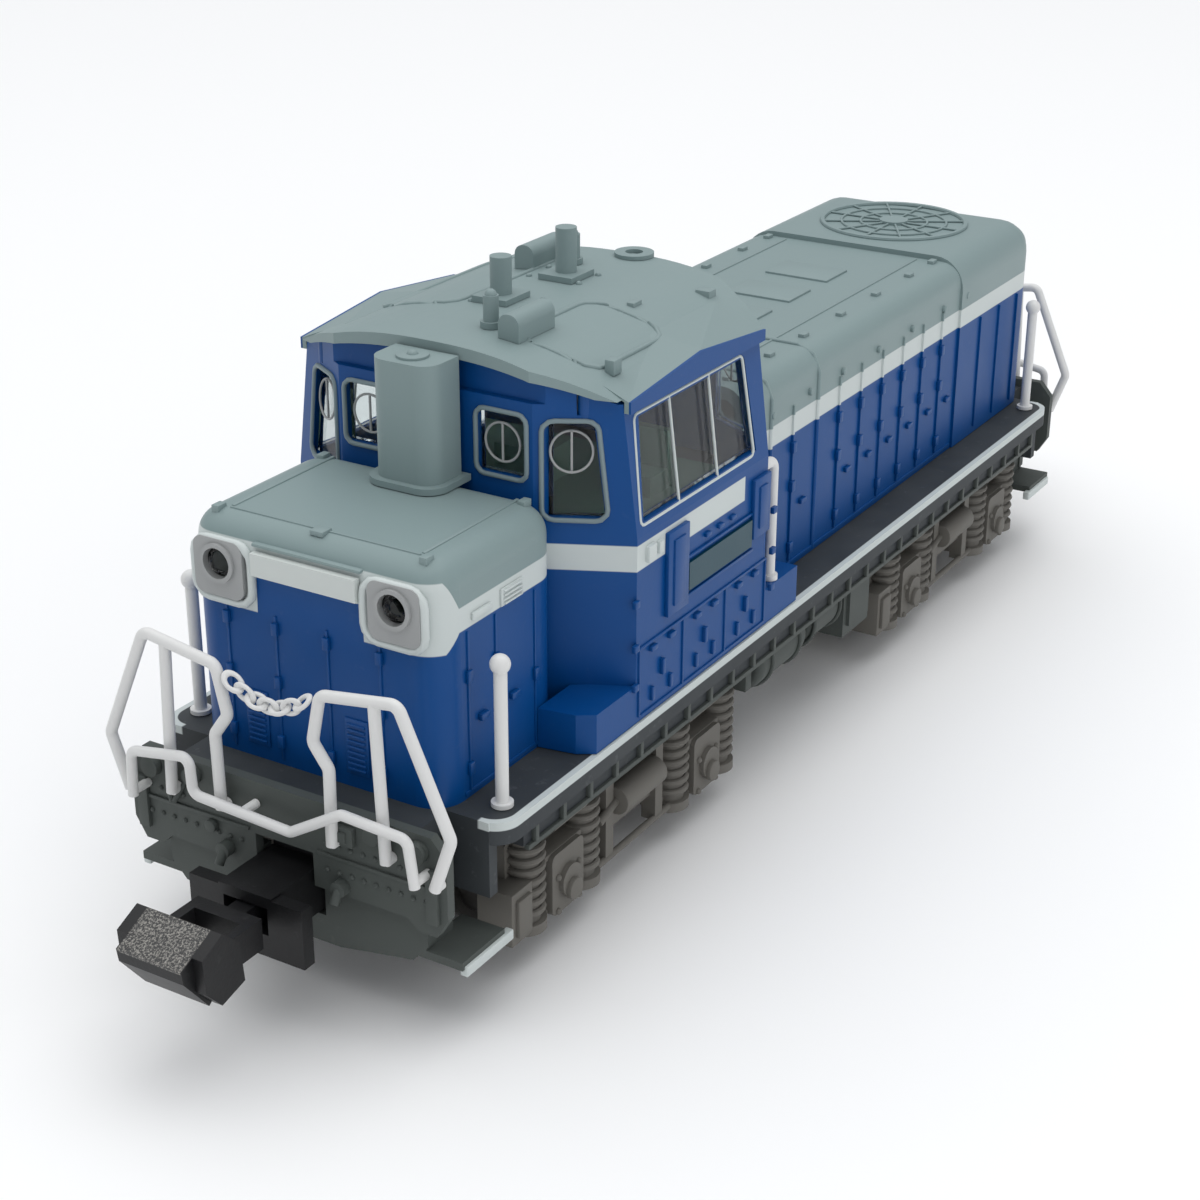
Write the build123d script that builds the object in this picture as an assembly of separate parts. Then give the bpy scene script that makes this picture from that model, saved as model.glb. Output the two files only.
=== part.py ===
"""N gauge (1:150) model of a centre-cab diesel locomotive, as an assembly of separate pieces.

Frame: +X towards the short bonnet, +Y to the left of travel, +Z up.
The origin is under the middle of the model, on the surface that its wheel flanges stand on.
All sizes are in millimetres.
"""
from build123d import *
import math
import os

# ---- Driving dimensions -------------------------------------------------------------------
WHEELBASE = 13.34            # axle to axle in one bogie
FRONT_PIVOT = 18.6           # bogie pivots along the model
REAR_PIVOT = -20.2
FLANGE_R = 3.25              # the flanges stand on z = 0
TREAD_R = 2.80
BACK_TO_BACK = 7.4
WHEEL_WIDTH = 1.9
FLANGE_WIDTH = 0.5
AXLE_R = 0.75

DECK_TOP = 9.6               # footplate height
DECK_THICK = 1.1
DECK_HALF = 9.6              # half width over the footplate
DECK_END = 32.2              # full-width deck ends here, the footwells are beyond it
TONGUE_HALF = 6.6            # half width of the deck between the footwells
CORNER_R = 1.2

PLATE_X = 35.2               # outer face of each end plate
PLATE_THICK = 0.5
PLATE_HALF = 8.7
PLATE_TOP = 10.1
PLATE_LOW = 5.3
SKIRT_LOW = 2.6

SHELL = 0.7                  # wall of the body mouldings
FIT = 0.05                   # clearance between pieces that sit in or beside each other
RUN = 0.05                   # radial clearance of a turning fit

SHORT_HALF = 6.8             # half width of the short bonnet
SHORT_END = 32.6
SHORT_TOP = 20.9
LONG_HALF = 7.2              # half width of the long bonnet
LONG_END = -33.0
LONG_TOP = 21.2
BONNET_EDGE_R = 1.5          # vertical corners
SHORT_BACK_R = 1.7           # corners of the short bonnet beside the cab
BONNET_ROOF_R = 1.3          # long edges of the bonnet roofs

CAB_FRONT = 23.1
CAB_REAR = 6.25
CAB_HALF = 9.5               # at the belt and below
CAB_EAVE_HALF = 8.7
CAB_SWEEP = 2.05             # how far the corner faces run back
CAB_FLAT = 5.3               # half width of the flat middle face
BELT_Z = 18.9
EAVE_Z = 25.1
CROWN_Z = 27.2
ROOF_OVER = 0.25             # roof overhang beyond the cab walls
STEP_TOP = 11.6              # low boxes before and behind the cab
STEP_FRONT = 25.0
STEP_REAR = 4.5

STACK_END = 25.7             # front of the exhaust stack
STACK_TOP = 26.8
STACK_HALF = 1.7

LAMP_Y = 4.7
LAMP_Z = 18.9
LAMP_R = 0.72
BEZEL = 2.7                  # side of the square lamp surround

GEAR_MODULE = 0.4
CENTRE_TEETH = 11
IDLER_TEETH = 8
AXLE_TEETH = 9
GEAR_WIDTH = 2.0
PIN_R = 0.45
SHAFT_Z = 8.65
SHAFT_R = 0.6
WORM_ROOT_R = 0.8
WORM_LENGTH = 4.4
FLYWHEEL_R = 2.7
FLYWHEEL_LENGTH = 3.0
MOTOR_HALF_X = 7.0
MOTOR_HALF_Y = 4.2
MOTOR_HALF_Z = 3.7
ROTOR_AIR = 0.3

GEARBOX_HALF = 1.9
GEARBOX_WALL = 0.5
GEARBOX_REACH = 2.9   # from each axle to the end of the gearbox
GEARBOX_TOP = 7.0
GEARBOX_LOW = 0.8
COLLAR_R = 3.4
CHASSIS_LOW = 7.35
CHASSIS_HALF = 5.5
NECK_HALF = 4.2              # chassis half width where it passes into the short bonnet
CHASSIS_END = 30.6
CHASSIS_TOP_CAB = 16.2
CHASSIS_TOP_LONG = 17.6
SPLIT = 0.1                  # half the insulating gap between the chassis halves

FRAME_IN = 6.45              # inner face of the bogie side frames
FRAME_OUT = 7.3
AXLEBOX_OUT = 8.45
FRAME_HALF = 10.2

COUPLER_Z = 5.2
COUPLER_PIVOT_X = 33.4
HOOK_HALF = 1.75
HOOK_TOP = 7.3
HOOK_END = 44.1
POST_TOP = 16.4      # centre of the ball on each corner post
TUBE_R = 0.27                # handrail tube radius
RAIL_X = PLATE_X + 0.45               # plane of the end handrails, just outside the end plate

AXLE_Z = FLANGE_R
HALF_BASE = WHEELBASE / 2
PIVOTS = (("front", FRONT_PIVOT), ("rear", REAR_PIVOT))
MOTOR_X = (FRONT_PIVOT + REAR_PIVOT) / 2
CENTRE_R = GEAR_MODULE * CENTRE_TEETH / 2
IDLER_R = GEAR_MODULE * IDLER_TEETH / 2
AXLE_GEAR_R = GEAR_MODULE * AXLE_TEETH / 2
WORM_R = WORM_ROOT_R + GEAR_MODULE
CENTRE_Z = SHAFT_Z - WORM_R - CENTRE_R
WORM_ROOM = WORM_R + GEAR_MODULE + 0.5
MESH_GAP = 0.04              # extra centre distance of each gear pair


# ---- Small helpers --------------------------------------------------------------------------
def block(x0, x1, y0, y1, z0, z1):
    """A box between two corners."""
    return Pos((x0 + x1) / 2, (y0 + y1) / 2, (z0 + z1) / 2) * Box(abs(x1 - x0), abs(y1 - y0), abs(z1 - z0))


def rod_y(x, z, r, y0, y1):
    """A cylinder along Y."""
    return Pos(x, (y0 + y1) / 2, z) * Rot(90, 0, 0) * Cylinder(r, abs(y1 - y0))


def rod_x(y, z, r, x0, x1):
    """A cylinder along X."""
    return Pos((x0 + x1) / 2, y, z) * Rot(0, 90, 0) * Cylinder(r, abs(x1 - x0))


def rod_z(x, y, r, z0, z1):
    """A cylinder along Z."""
    return Pos(x, y, (z0 + z1) / 2) * Cylinder(r, abs(z1 - z0))


def plate_yz(points, x0, x1):
    """A polygon in the YZ plane, from x0 to x1."""
    face = make_face(Polyline(*[Vector(x0, y, z) for y, z in points], close=True))
    return extrude(face, amount=x1 - x0, dir=(1, 0, 0))


def plate_xz(points, y0, y1):
    """A polygon in the XZ plane, from y0 to y1."""
    face = make_face(Polyline(*[Vector(x, y0, z) for x, z in points], close=True))
    return extrude(face, amount=y1 - y0, dir=(0, 1, 0))


def plate_xy(points, z0, z1):
    """A polygon in the XY plane, from z0 to z1."""
    face = make_face(Polyline(*[Vector(x, y, z0) for x, y in points], close=True))
    return extrude(face, amount=z1 - z0, dir=(0, 0, 1))


def tube(points, r, bend=0.55):
    """A bent round rod along straight runs joined by arcs."""
    path = FilletPolyline(*[Vector(*p) for p in points], radius=bend) if len(points) > 2 else Line(*points)
    start = Plane(origin=path @ 0, z_dir=path % 0)
    return sweep(start * Circle(r), path=path)


def solids_of(*shapes):
    """Every solid in some shapes, as one list."""
    found = []
    for shape in shapes:
        found += list(shape.solids())
    return found


def turned(shape):
    """The same piece at the other end of the model."""
    return Rot(0, 0, 180) * shape


def mirrored(shape):
    """The same piece on the other side of the model."""
    return mirror(shape, about=Plane.XZ)


def save(name, *shapes):
    """Writes one node."""
    os.makedirs("parts", exist_ok=True)
    export_step(Compound(children=solids_of(*shapes)), f"parts/{name}.step")


# ---- Gears and wheels -----------------------------------------------------------------------
def gear(teeth, width, bore, phase):
    """A spur gear about Y at the origin; phase is the angle of one tooth from +X towards +Z."""
    pitch_r = GEAR_MODULE * teeth / 2
    tip, root = pitch_r + 0.85 * GEAR_MODULE, pitch_r - 1.1 * GEAR_MODULE
    step = 2 * math.pi / teeth
    outline = []
    for k in range(teeth):
        at = phase + k * step
        for share, r in ((-0.25, root), (-0.10, tip), (0.10, tip), (0.25, root)):
            outline.append((r * math.cos(at + share * step), r * math.sin(at + share * step)))
    return plate_xz(outline, -width / 2, width / 2) - rod_y(0, 0, bore, -width, width)


def idler_place(side):
    """Where an idler's axis lies from the bogie pivot, in X and Z, between centre gear and axle."""
    ax, az = side * HALF_BASE, AXLE_Z - CENTRE_Z
    reach = math.hypot(ax, az)
    from_centre = CENTRE_R + IDLER_R + MESH_GAP
    from_axle = IDLER_R + AXLE_GEAR_R + MESH_GAP
    along = (from_centre ** 2 - from_axle ** 2 + reach ** 2) / (2 * reach)
    off = math.sqrt(from_centre ** 2 - along ** 2)
    ux, uz = ax / reach, az / reach
    return along * ux + side * off * uz, along * uz - side * off * ux


def wheel(inner_y, side):
    """One wheel on its axle: tread, flange, dished face and hub."""
    outer_y = inner_y + side * WHEEL_WIDTH
    flange_y = inner_y + side * FLANGE_WIDTH
    disc = rod_y(0, 0, TREAD_R, inner_y, outer_y) + rod_y(0, 0, FLANGE_R, inner_y, flange_y)
    dish = rod_y(0, 0, TREAD_R - 0.5, outer_y - side * 0.35, outer_y)
    hub = rod_y(0, 0, 1.1, outer_y - side * 0.4, outer_y)
    return disc - dish + hub - rod_y(0, 0, AXLE_R, inner_y, outer_y)


def mesh_phases(side):
    """Tooth phases of the centre gear, an idler and an axle gear that put them in mesh at rest."""
    ix, iz = idler_place(side)
    centre_phase = math.pi / 2 + math.pi / CENTRE_TEETH
    line = math.atan2(iz, ix)
    centre_step = 2 * math.pi / CENTRE_TEETH
    lag = (line - centre_phase) / centre_step
    lag -= math.floor(lag)
    idler_step = 2 * math.pi / IDLER_TEETH
    idler_phase = line + math.pi + (0.5 + lag) * idler_step
    out = math.atan2(AXLE_Z - CENTRE_Z - iz, side * HALF_BASE - ix)
    lag = (out - idler_phase) / idler_step
    lag -= math.floor(lag)
    axle_phase = out + math.pi + (0.5 + lag) * 2 * math.pi / AXLE_TEETH
    return centre_phase, idler_phase, axle_phase


def wheelset(phase):
    """Axle, two wheels and the driven gear, as solids of one node, at the origin."""
    inner = BACK_TO_BACK / 2
    journal = FRAME_IN + 0.35
    axle = rod_y(0, 0, AXLE_R, -inner - WHEEL_WIDTH, inner + WHEEL_WIDTH)
    axle += rod_y(0, 0, 0.4, -journal, journal)
    return [axle, wheel(inner, 1), wheel(-inner, -1), gear(AXLE_TEETH, GEAR_WIDTH, AXLE_R, phase)]


def worm(x):
    """A right-hand worm on the motor shaft, with a thread crest over x at its underside."""
    pitch = math.pi * GEAR_MODULE
    turns = math.ceil(WORM_LENGTH / 2 / pitch) + 1
    sunk = 0.05
    path = Helix(pitch=pitch, height=2 * turns * pitch, radius=WORM_ROOT_R - sunk)
    half_root, half_tip, high = 0.22 * pitch, 0.08 * pitch, GEAR_MODULE * 1.8 + sunk
    start = Plane(origin=path @ 0, x_dir=(1, 0, 0), z_dir=path % 0)
    corners = [(0, -half_root), (high, -half_tip), (high, half_tip), (0, half_root)]
    tooth = make_face(Polyline(*corners, close=True))
    thread = Pos(0, 0, -turns * pitch) * sweep(start * tooth, path=path, is_frenet=True)
    thread = thread & Cylinder(3 * WORM_R, WORM_LENGTH)
    body = Cylinder(WORM_ROOT_R, WORM_LENGTH) + thread - Cylinder(SHAFT_R, 2 * WORM_LENGTH)
    return Pos(x, 0, SHAFT_Z) * Rot(0, 90, 0) * body


def make_drive():
    """Motor, flywheels and worms along the model's middle, low in the chassis."""
    x0, x1 = MOTOR_X - MOTOR_HALF_X, MOTOR_X + MOTOR_HALF_X
    bore = MOTOR_HALF_Z - 0.5
    can = block(x0, x1, -MOTOR_HALF_Y, MOTOR_HALF_Y, SHAFT_Z - MOTOR_HALF_Z, SHAFT_Z + MOTOR_HALF_Z)
    can = fillet(can.edges().filter_by(Axis.X), 1.2)
    save("motor_can", can - rod_x(0, SHAFT_Z, bore, x0, x1))
    caps, wheels = [], []
    for face, side in ((x0, -1), (x1, 1)):
        cap = rod_x(0, SHAFT_Z, bore - FIT, face - side * 1.0, face)
        cap += rod_x(0, SHAFT_Z, 1.6, face, face + side * 0.5)
        caps.append(cap - rod_x(0, SHAFT_Z, SHAFT_R + RUN, x0 - 1, x1 + 1))
        near, far = face + side * 1.2, face + side * (1.2 + FLYWHEEL_LENGTH)
        wheels.append(rod_x(0, SHAFT_Z, FLYWHEEL_R, near, far) - rod_x(0, SHAFT_Z, SHAFT_R, near, far))
    save("motor_end_caps", *caps)
    save("flywheels", *wheels)
    armature = rod_x(0, SHAFT_Z, bore - ROTOR_AIR, x0 + 1.6, x1 - 1.6)
    for k in range(3):
        slot = block(x0, x1, -0.3, 0.3, 1.6, MOTOR_HALF_Z)
        armature -= Pos(0, 0, SHAFT_Z) * Rot(120 * k, 0, 0) * slot
    save("motor_armature", armature - rod_x(0, SHAFT_Z, SHAFT_R, x0, x1))
    over = WORM_LENGTH / 2 + 1.0
    save("motor_shaft", rod_x(0, SHAFT_Z, SHAFT_R, REAR_PIVOT - over, FRONT_PIVOT + over))
    save("worms", worm(FRONT_PIVOT), worm(REAR_PIVOT))


# ---- Bogies ---------------------------------------------------------------------------------
def gearbox(cx):
    """The inner bogie moulding: a hollow tower with the pivot collar, open below for its cover."""
    half = HALF_BASE + GEARBOX_REACH
    shape = [(-half, GEARBOX_LOW + 0.6), (half, GEARBOX_LOW + 0.6), (half, AXLE_Z + 2.4),
             (COLLAR_R + 0.4, GEARBOX_TOP), (-COLLAR_R - 0.4, GEARBOX_TOP), (-half, AXLE_Z + 2.4)]
    body = plate_xz(shape, -GEARBOX_HALF, GEARBOX_HALF)
    body += rod_z(0, 0, COLLAR_R, GEARBOX_TOP - 1.1, CHASSIS_LOW + 0.7)
    inner = [(-half + 0.5, 0), (half - 0.5, 0), (half - 0.5, AXLE_Z + 1.9),
             (COLLAR_R, GEARBOX_TOP - 0.4), (-COLLAR_R, GEARBOX_TOP - 0.4), (-half + 0.5, AXLE_Z + 1.9)]
    room = GEARBOX_HALF - GEARBOX_WALL
    body -= plate_xz(inner, -room, room)
    body -= block(-COLLAR_R - 1, COLLAR_R + 1, -WORM_ROOM, WORM_ROOM, GEARBOX_TOP - 0.4, CHASSIS_LOW + 1)
    for side in (-1, 1):
        body -= rod_y(side * HALF_BASE, AXLE_Z, AXLE_R + RUN, -3, 3)
        body -= block(side * HALF_BASE - AXLE_R - RUN, side * HALF_BASE + AXLE_R + RUN, -3, 3, 0, AXLE_Z)
        ix, iz = idler_place(side)
        body -= rod_y(ix, CENTRE_Z + iz, PIN_R, -3, 3)
    body -= rod_y(0, CENTRE_Z, PIN_R, -3, 3)
    for side in (-1, 1):
        body += block(-1.5, 1.5, side * GEARBOX_HALF, side * (FRAME_IN - FIT), 3.4, 5.2)
    return Pos(cx, 0, 0) * body


def gearbox_cover(cx):
    """The clip-on plate below the gears, with a keeper at each axle."""
    half = HALF_BASE + GEARBOX_REACH - 0.1
    plate = block(-half, half, -GEARBOX_HALF, GEARBOX_HALF, GEARBOX_LOW, GEARBOX_LOW + 0.6 - FIT)
    plate -= block(-half + 1.2, half - 1.2, -1.2, 1.2, GEARBOX_LOW + 0.3, GEARBOX_LOW + 1)
    for side in (-1, 1):
        x = side * HALF_BASE
        for wall in (-1, 1):
            y0, y1 = wall * (GEARBOX_HALF - GEARBOX_WALL + FIT), wall * GEARBOX_HALF
            keeper = block(x - AXLE_R + 0.05, x + AXLE_R - 0.05, y0, y1, GEARBOX_LOW, AXLE_Z)
            plate += keeper - rod_y(x, AXLE_Z, AXLE_R + RUN, -3, 3)
    return Pos(cx, 0, 0) * plate


def side_frame(cx):
    """One cast-look bogie side on +Y: beam, axle boxes, coil springs, brake cylinder and hangers."""
    half = FRAME_HALF
    beam = [(-half, 4.6), (-half + 1.3, 4.0), (-4.2, 4.0), (-3.0, 2.9), (3.0, 2.9), (4.2, 4.0),
            (half - 1.3, 4.0), (half, 4.6), (half, 6.3), (half - 1.6, 7.0), (5.0, 7.0), (3.6, 6.2),
            (-3.6, 6.2), (-5.0, 7.0), (-half + 1.6, 7.0), (-half, 6.3)]
    body = plate_xz(beam, FRAME_IN, FRAME_OUT)
    body += block(-2.6, 2.6, FRAME_OUT, FRAME_OUT + 0.5, 3.3, 6.0)
    for side in (-1, 1):
        x = side * HALF_BASE
        box = block(x - 1.35, x + 1.35, FRAME_IN, AXLEBOX_OUT, AXLE_Z - 1.5, AXLE_Z + 1.7)
        body += fillet(box.edges().filter_by(Axis.Y), 0.35)
        body += rod_y(x, AXLE_Z, 0.8, AXLEBOX_OUT, AXLEBOX_OUT + 0.25)
        for spring in (-1, 1):
            sx = x + spring * 2.35
            body += rod_z(sx, FRAME_OUT + 0.25, 0.78, AXLE_Z - 1.1, 6.4)
            body += rod_z(sx, FRAME_OUT + 0.25, 1.05, AXLE_Z - 1.6, AXLE_Z - 1.1)
        body += block(x - 3.3, x + 3.3, FRAME_IN, FRAME_OUT + 0.4, AXLE_Z - 1.55, AXLE_Z - 0.8)
        body += rod_x(FRAME_OUT + 0.5, 6.6, 0.7, x - 0.4 * side - 1.4, x - 0.4 * side + 1.4)
        body += block(x - side * 4.3 - 0.35, x - side * 4.3 + 0.35, FRAME_OUT, FRAME_OUT + 0.8, 1.9, 6.2)
    for side in (-1, 1):
        body -= rod_y(side * HALF_BASE, AXLE_Z, 0.4 + RUN, FRAME_IN - 1, FRAME_IN + 0.45)
    return Pos(cx, 0, 0) * body


def make_bogies():
    """Both bogies with their gears, pins and wheelsets."""
    for name, cx in PIVOTS:
        save(f"gearbox_{name}", gearbox(cx))
        save(f"gearbox_cover_{name}", gearbox_cover(cx))
        save(f"side_frame_left_{name}", side_frame(cx))
        save(f"side_frame_right_{name}", mirrored(side_frame(cx)))
        places = [(0, 0), idler_place(1), idler_place(-1)]
        pins = [rod_y(cx + x, CENTRE_Z + z, PIN_R, -GEARBOX_HALF, GEARBOX_HALF) for x, z in places]
        save(f"gear_pins_{name}", *pins)
        centre_phase = mesh_phases(1)[0]
        centre = gear(CENTRE_TEETH, GEAR_WIDTH, PIN_R + RUN, centre_phase)
        save(f"centre_gear_{name}", Pos(cx, 0, CENTRE_Z) * centre)
        for end, side in (("outer", 1), ("inner", -1)):
            # The outer idler lies towards the model's end, so the rear bogie swaps them.
            hand = side if name == "front" else -side
            x, z = idler_place(hand)
            idler = gear(IDLER_TEETH, GEAR_WIDTH, PIN_R + RUN, mesh_phases(hand)[1])
            save(f"idler_gear_{name}_{end}", Pos(cx + x, 0, CENTRE_Z + z) * idler)
            wheels = wheelset(mesh_phases(hand)[2])
            place = Pos(cx + hand * HALF_BASE, 0, AXLE_Z)
            save(f"wheelset_{name}_{end}", *[place * s for s in wheels])


# ---- Chassis --------------------------------------------------------------------------------
def make_chassis():
    """Two die-cast halves clamped round the motor, with the screws that hold them."""
    step = CAB_FRONT - CAB_SWEEP - 0.5
    half = block(-CHASSIS_END, step, SPLIT, CHASSIS_HALF, CHASSIS_LOW, CHASSIS_TOP_LONG)
    half += block(step, CHASSIS_END, SPLIT, CHASSIS_HALF, CHASSIS_LOW, CHASSIS_TOP_CAB)
    half -= block(step, CAB_FRONT + 2.2, NECK_HALF, CHASSIS_HALF + 1, DECK_TOP, CHASSIS_TOP_CAB + 1)
    half -= block(MOTOR_X - MOTOR_HALF_X - FIT, MOTOR_X + MOTOR_HALF_X + FIT,
                  -MOTOR_HALF_Y - FIT, MOTOR_HALF_Y + FIT, 0, SHAFT_Z + MOTOR_HALF_Z + FIT)
    tunnel = FLYWHEEL_R + ROTOR_AIR
    spun = MOTOR_HALF_X + 1.2 + FLYWHEEL_LENGTH + 0.5
    half -= block(MOTOR_X - spun, MOTOR_X + spun, -tunnel, tunnel, 0, SHAFT_Z + tunnel)
    over = WORM_LENGTH / 2 + 1.4
    half -= block(REAR_PIVOT - over, FRONT_PIVOT + over, -WORM_ROOM, WORM_ROOM, 0, SHAFT_Z + WORM_ROOM)
    for name, cx in PIVOTS:
        half -= rod_z(cx, 0, COLLAR_R + RUN, 0, CHASSIS_LOW + 0.9)
    screws = []
    for x, z in ((-25.5, 14.2), (-12.6, 15.0), (13.6, 14.6), (26.5, 13.4)):
        half -= rod_y(x, z, 0.7, -8, 8)
        screw = rod_y(x, z, 0.7 - FIT, -CHASSIS_HALF + 0.6, CHASSIS_HALF - 0.4)
        head = rod_y(x, z, 1.2, CHASSIS_HALF, CHASSIS_HALF + 0.5)
        slot = block(x - 1.4, x + 1.4, CHASSIS_HALF + 0.25, CHASSIS_HALF + 1, z - 0.15, z + 0.15)
        screws.append(screw + rod_y(x, z, 0.7 - FIT, CHASSIS_HALF - 0.4, CHASSIS_HALF) + head - slot)
    save("chassis_left", half)
    save("chassis_right", mirrored(half))
    save("chassis_screws", *screws)


def make_deck():
    """Footplate with its edge beam, and the tanks hung below it."""
    deck = block(-DECK_END, DECK_END, -DECK_HALF, DECK_HALF, DECK_TOP - DECK_THICK, DECK_TOP)
    deck = fillet(deck.edges().filter_by(Axis.Z), CORNER_R)
    back = PLATE_X - PLATE_THICK
    deck += block(-back, back, -TONGUE_HALF, TONGUE_HALF, DECK_TOP - DECK_THICK, DECK_TOP)
    for side in (-1, 1):
        for end in (-1, 1):
            inner = end * (DECK_END - 0.6)
            deck += block(inner, end * DECK_END, side * TONGUE_HALF, side * (DECK_HALF - 0.8), 5.9, DECK_TOP)
        deck += block(-DECK_END + 2, DECK_END - 2, side * (DECK_HALF - 0.9), side * (DECK_HALF - 0.35),
                      7.6, DECK_TOP - 0.5)
    room = CHASSIS_HALF + FIT
    deck -= block(-CHASSIS_END - FIT, CHASSIS_END + FIT, -room, room, 0, DECK_TOP + 1)
    save("deck", deck)

    hang = DECK_TOP - DECK_THICK
    tanks = []
    for side in (-1, 1):
        y = side * 7.0
        for x0, x1, r in ((1.2, 6.6, 1.75), (-3.2, 0.4, 1.6)):
            shell = rod_x(y, 6.3, r, x0, x1)
            shell = fillet(shell.edges().filter_by(GeomType.CIRCLE), 0.45)
            straps = block(x0 + 0.8, x0 + 1.3, y - 0.8, y + 0.8, 6.3, hang)
            straps += block(x1 - 1.3, x1 - 0.8, y - 0.8, y + 0.8, 6.3, hang)
            tanks.append(shell + straps)
    save("air_reservoirs", *tanks)
    boxes = []
    for side in (-1, 1):
        body = block(-6.9, -3.6, side * 5.6, side * 8.6, 4.0, hang)
        lid = block(-6.5, -4.0, side * 8.6, side * 8.8, 4.6, 7.6)
        boxes.append(body + lid)
    save("battery_boxes", *boxes)


# ---- Body mouldings ---------------------------------------------------------------------------
def bonnet(x0, x1, half, top, nose):
    """A hollow bonnet open below and at the cab; nose is the closed end, x0 or x1."""
    shift = SHELL if nose == x0 else -SHELL

    def corners(body, x, r):
        return fillet([e for e in body.edges().filter_by(Axis.Z) if abs(e.center().X - x) < 0.3], r)

    outer = corners(block(x0, x1, -half, half, DECK_TOP, top), nose, BONNET_EDGE_R)
    if nose == x1:
        outer = corners(outer, x0, SHORT_BACK_R)
    crown = [e for e in outer.edges() if abs(e.center().Z - top) < 0.01]
    outer = fillet([e for e in crown if abs(e.center().X - (x0 + x1 - nose)) > 0.1], BONNET_ROOF_R)
    a, b = (x0 + shift, x1 + 1) if nose == x0 else (x0 - 1, x1 + shift)
    inner = block(a, b, -half + SHELL, half - SHELL, DECK_TOP - 1, top - SHELL)
    inner = corners(inner, nose + shift, BONNET_EDGE_R - SHELL)
    inner = fillet(inner.edges().filter_by(Axis.X).group_by(Axis.Z)[-1], BONNET_ROOF_R - SHELL)
    if nose == x1:
        inner &= corners(block(x0, x1, -half + SHELL, half - SHELL, DECK_TOP - 1, top), x0, SHORT_BACK_R)
    return outer - inner


def lamp_cuts(nose, side):
    """Holes for the two lamps in a bonnet's end."""
    holes = []
    for y in (-LAMP_Y, LAMP_Y):
        holes.append(rod_x(y, LAMP_Z, LAMP_R, nose - side * 3, nose + side * 1))
    return holes


def make_bonnets():
    """Short and long bonnets, lamps and number boards."""
    short = bonnet(CAB_FRONT + FIT, SHORT_END, SHORT_HALF, SHORT_TOP, SHORT_END)
    long = bonnet(LONG_END, CAB_REAR - FIT, LONG_HALF, LONG_TOP, LONG_END)
    for hole in lamp_cuts(SHORT_END, 1):
        short -= hole
    for hole in lamp_cuts(LONG_END, -1):
        long -= hole
    save("short_bonnet", short)
    save("long_bonnet", long)
    bezels, lenses, boards = [], [], []
    for nose, side in ((SHORT_END, 1), (LONG_END, -1)):
        for y in (-LAMP_Y, LAMP_Y):
            plate = block(nose + side * FIT, nose + side * 0.3, y - BEZEL / 2, y + BEZEL / 2,
                          LAMP_Z - BEZEL / 2 - 0.25, LAMP_Z + BEZEL / 2 - 0.25)
            plate = fillet(plate.edges().filter_by(Axis.X), 0.5)
            plate += rod_x(y, LAMP_Z, LAMP_R + 0.2, nose + side * FIT, nose + side * 0.45)
            bezels.append(plate - rod_x(y, LAMP_Z, LAMP_R, nose - side, nose + side))
            lens = rod_x(y, LAMP_Z, LAMP_R - FIT, nose - side * 0.9, nose + side * 0.15)
            lenses.append(lens + Pos(nose + side * 0.15, y, LAMP_Z) * Sphere(LAMP_R - 0.22))
        boards.append(block(nose + side * FIT, nose + side * 0.4, -2.8, 2.8, 18.75, 19.8))
    save("headlight_bezels", *bezels)
    save("headlight_lenses", *lenses)
    save("number_boards", *boards)


def cab_plan(inset, half):
    """The cab's eight-cornered plan: flat middle faces and swept-back corner faces."""
    x0, x1 = CAB_REAR + inset, CAB_FRONT - inset
    half -= inset
    return [(x1, -CAB_FLAT), (x1, CAB_FLAT), (x1 - CAB_SWEEP, half), (x0 + CAB_SWEEP, half),
            (x0, CAB_FLAT), (x0, -CAB_FLAT), (x0 + CAB_SWEEP, -half), (x1 - CAB_SWEEP, -half)]


def cab_upper(inset):
    """The upper cab between belt and eave, whose sides lean in."""
    rings = []
    for half, z in ((CAB_HALF, BELT_Z), (CAB_EAVE_HALF, EAVE_Z)):
        rings.append(make_face(Polyline(*[Vector(x, y, z) for x, y in cab_plan(inset, half)], close=True)))
    return loft(rings)


def side_window(pad, depth0, depth1):
    """The side window opening on +Y as a prism; pad shrinks it all round."""
    low, high = 19.5 + pad, 24.25 - pad
    front0, front1 = 20.4 - pad, 19.9 - pad
    rear0, rear1 = 9.5 + pad, 9.9 + pad
    return plate_xz([(rear0, low), (front0, low), (front1, high), (rear1, high)], depth0, depth1)


def end_windows(pad, x0, x1):
    """The four openings of a cab end as prisms; pad shrinks them all round."""
    shapes = []
    for side in (-1, 1):
        y0, y1 = side * (2.4 + pad), side * (4.9 - pad)
        shapes.append(block(x0, x1, min(y0, y1), max(y0, y1), 21.5 + pad, 24.4 - pad))
        outer = [(side * (5.75 + pad), 19.8 + pad), (side * (8.2 - pad), 19.8 + pad),
                 (side * (7.65 - pad), 24.25 - pad), (side * (5.75 + pad), 24.25 - pad)]
        shapes.append(plate_yz(outer, x0, x1))
    return shapes


def roof_profile(half, drop):
    """The roof's outline across the cab, as points from eave to eave over the crown."""
    steps = 12
    rise = CROWN_Z - EAVE_Z - drop
    points = []
    for k in range(-steps, steps + 1):
        y = half * k / steps
        points.append((y, EAVE_Z + rise * (1 - abs(k / steps) ** 2.6)))
    return points


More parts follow.
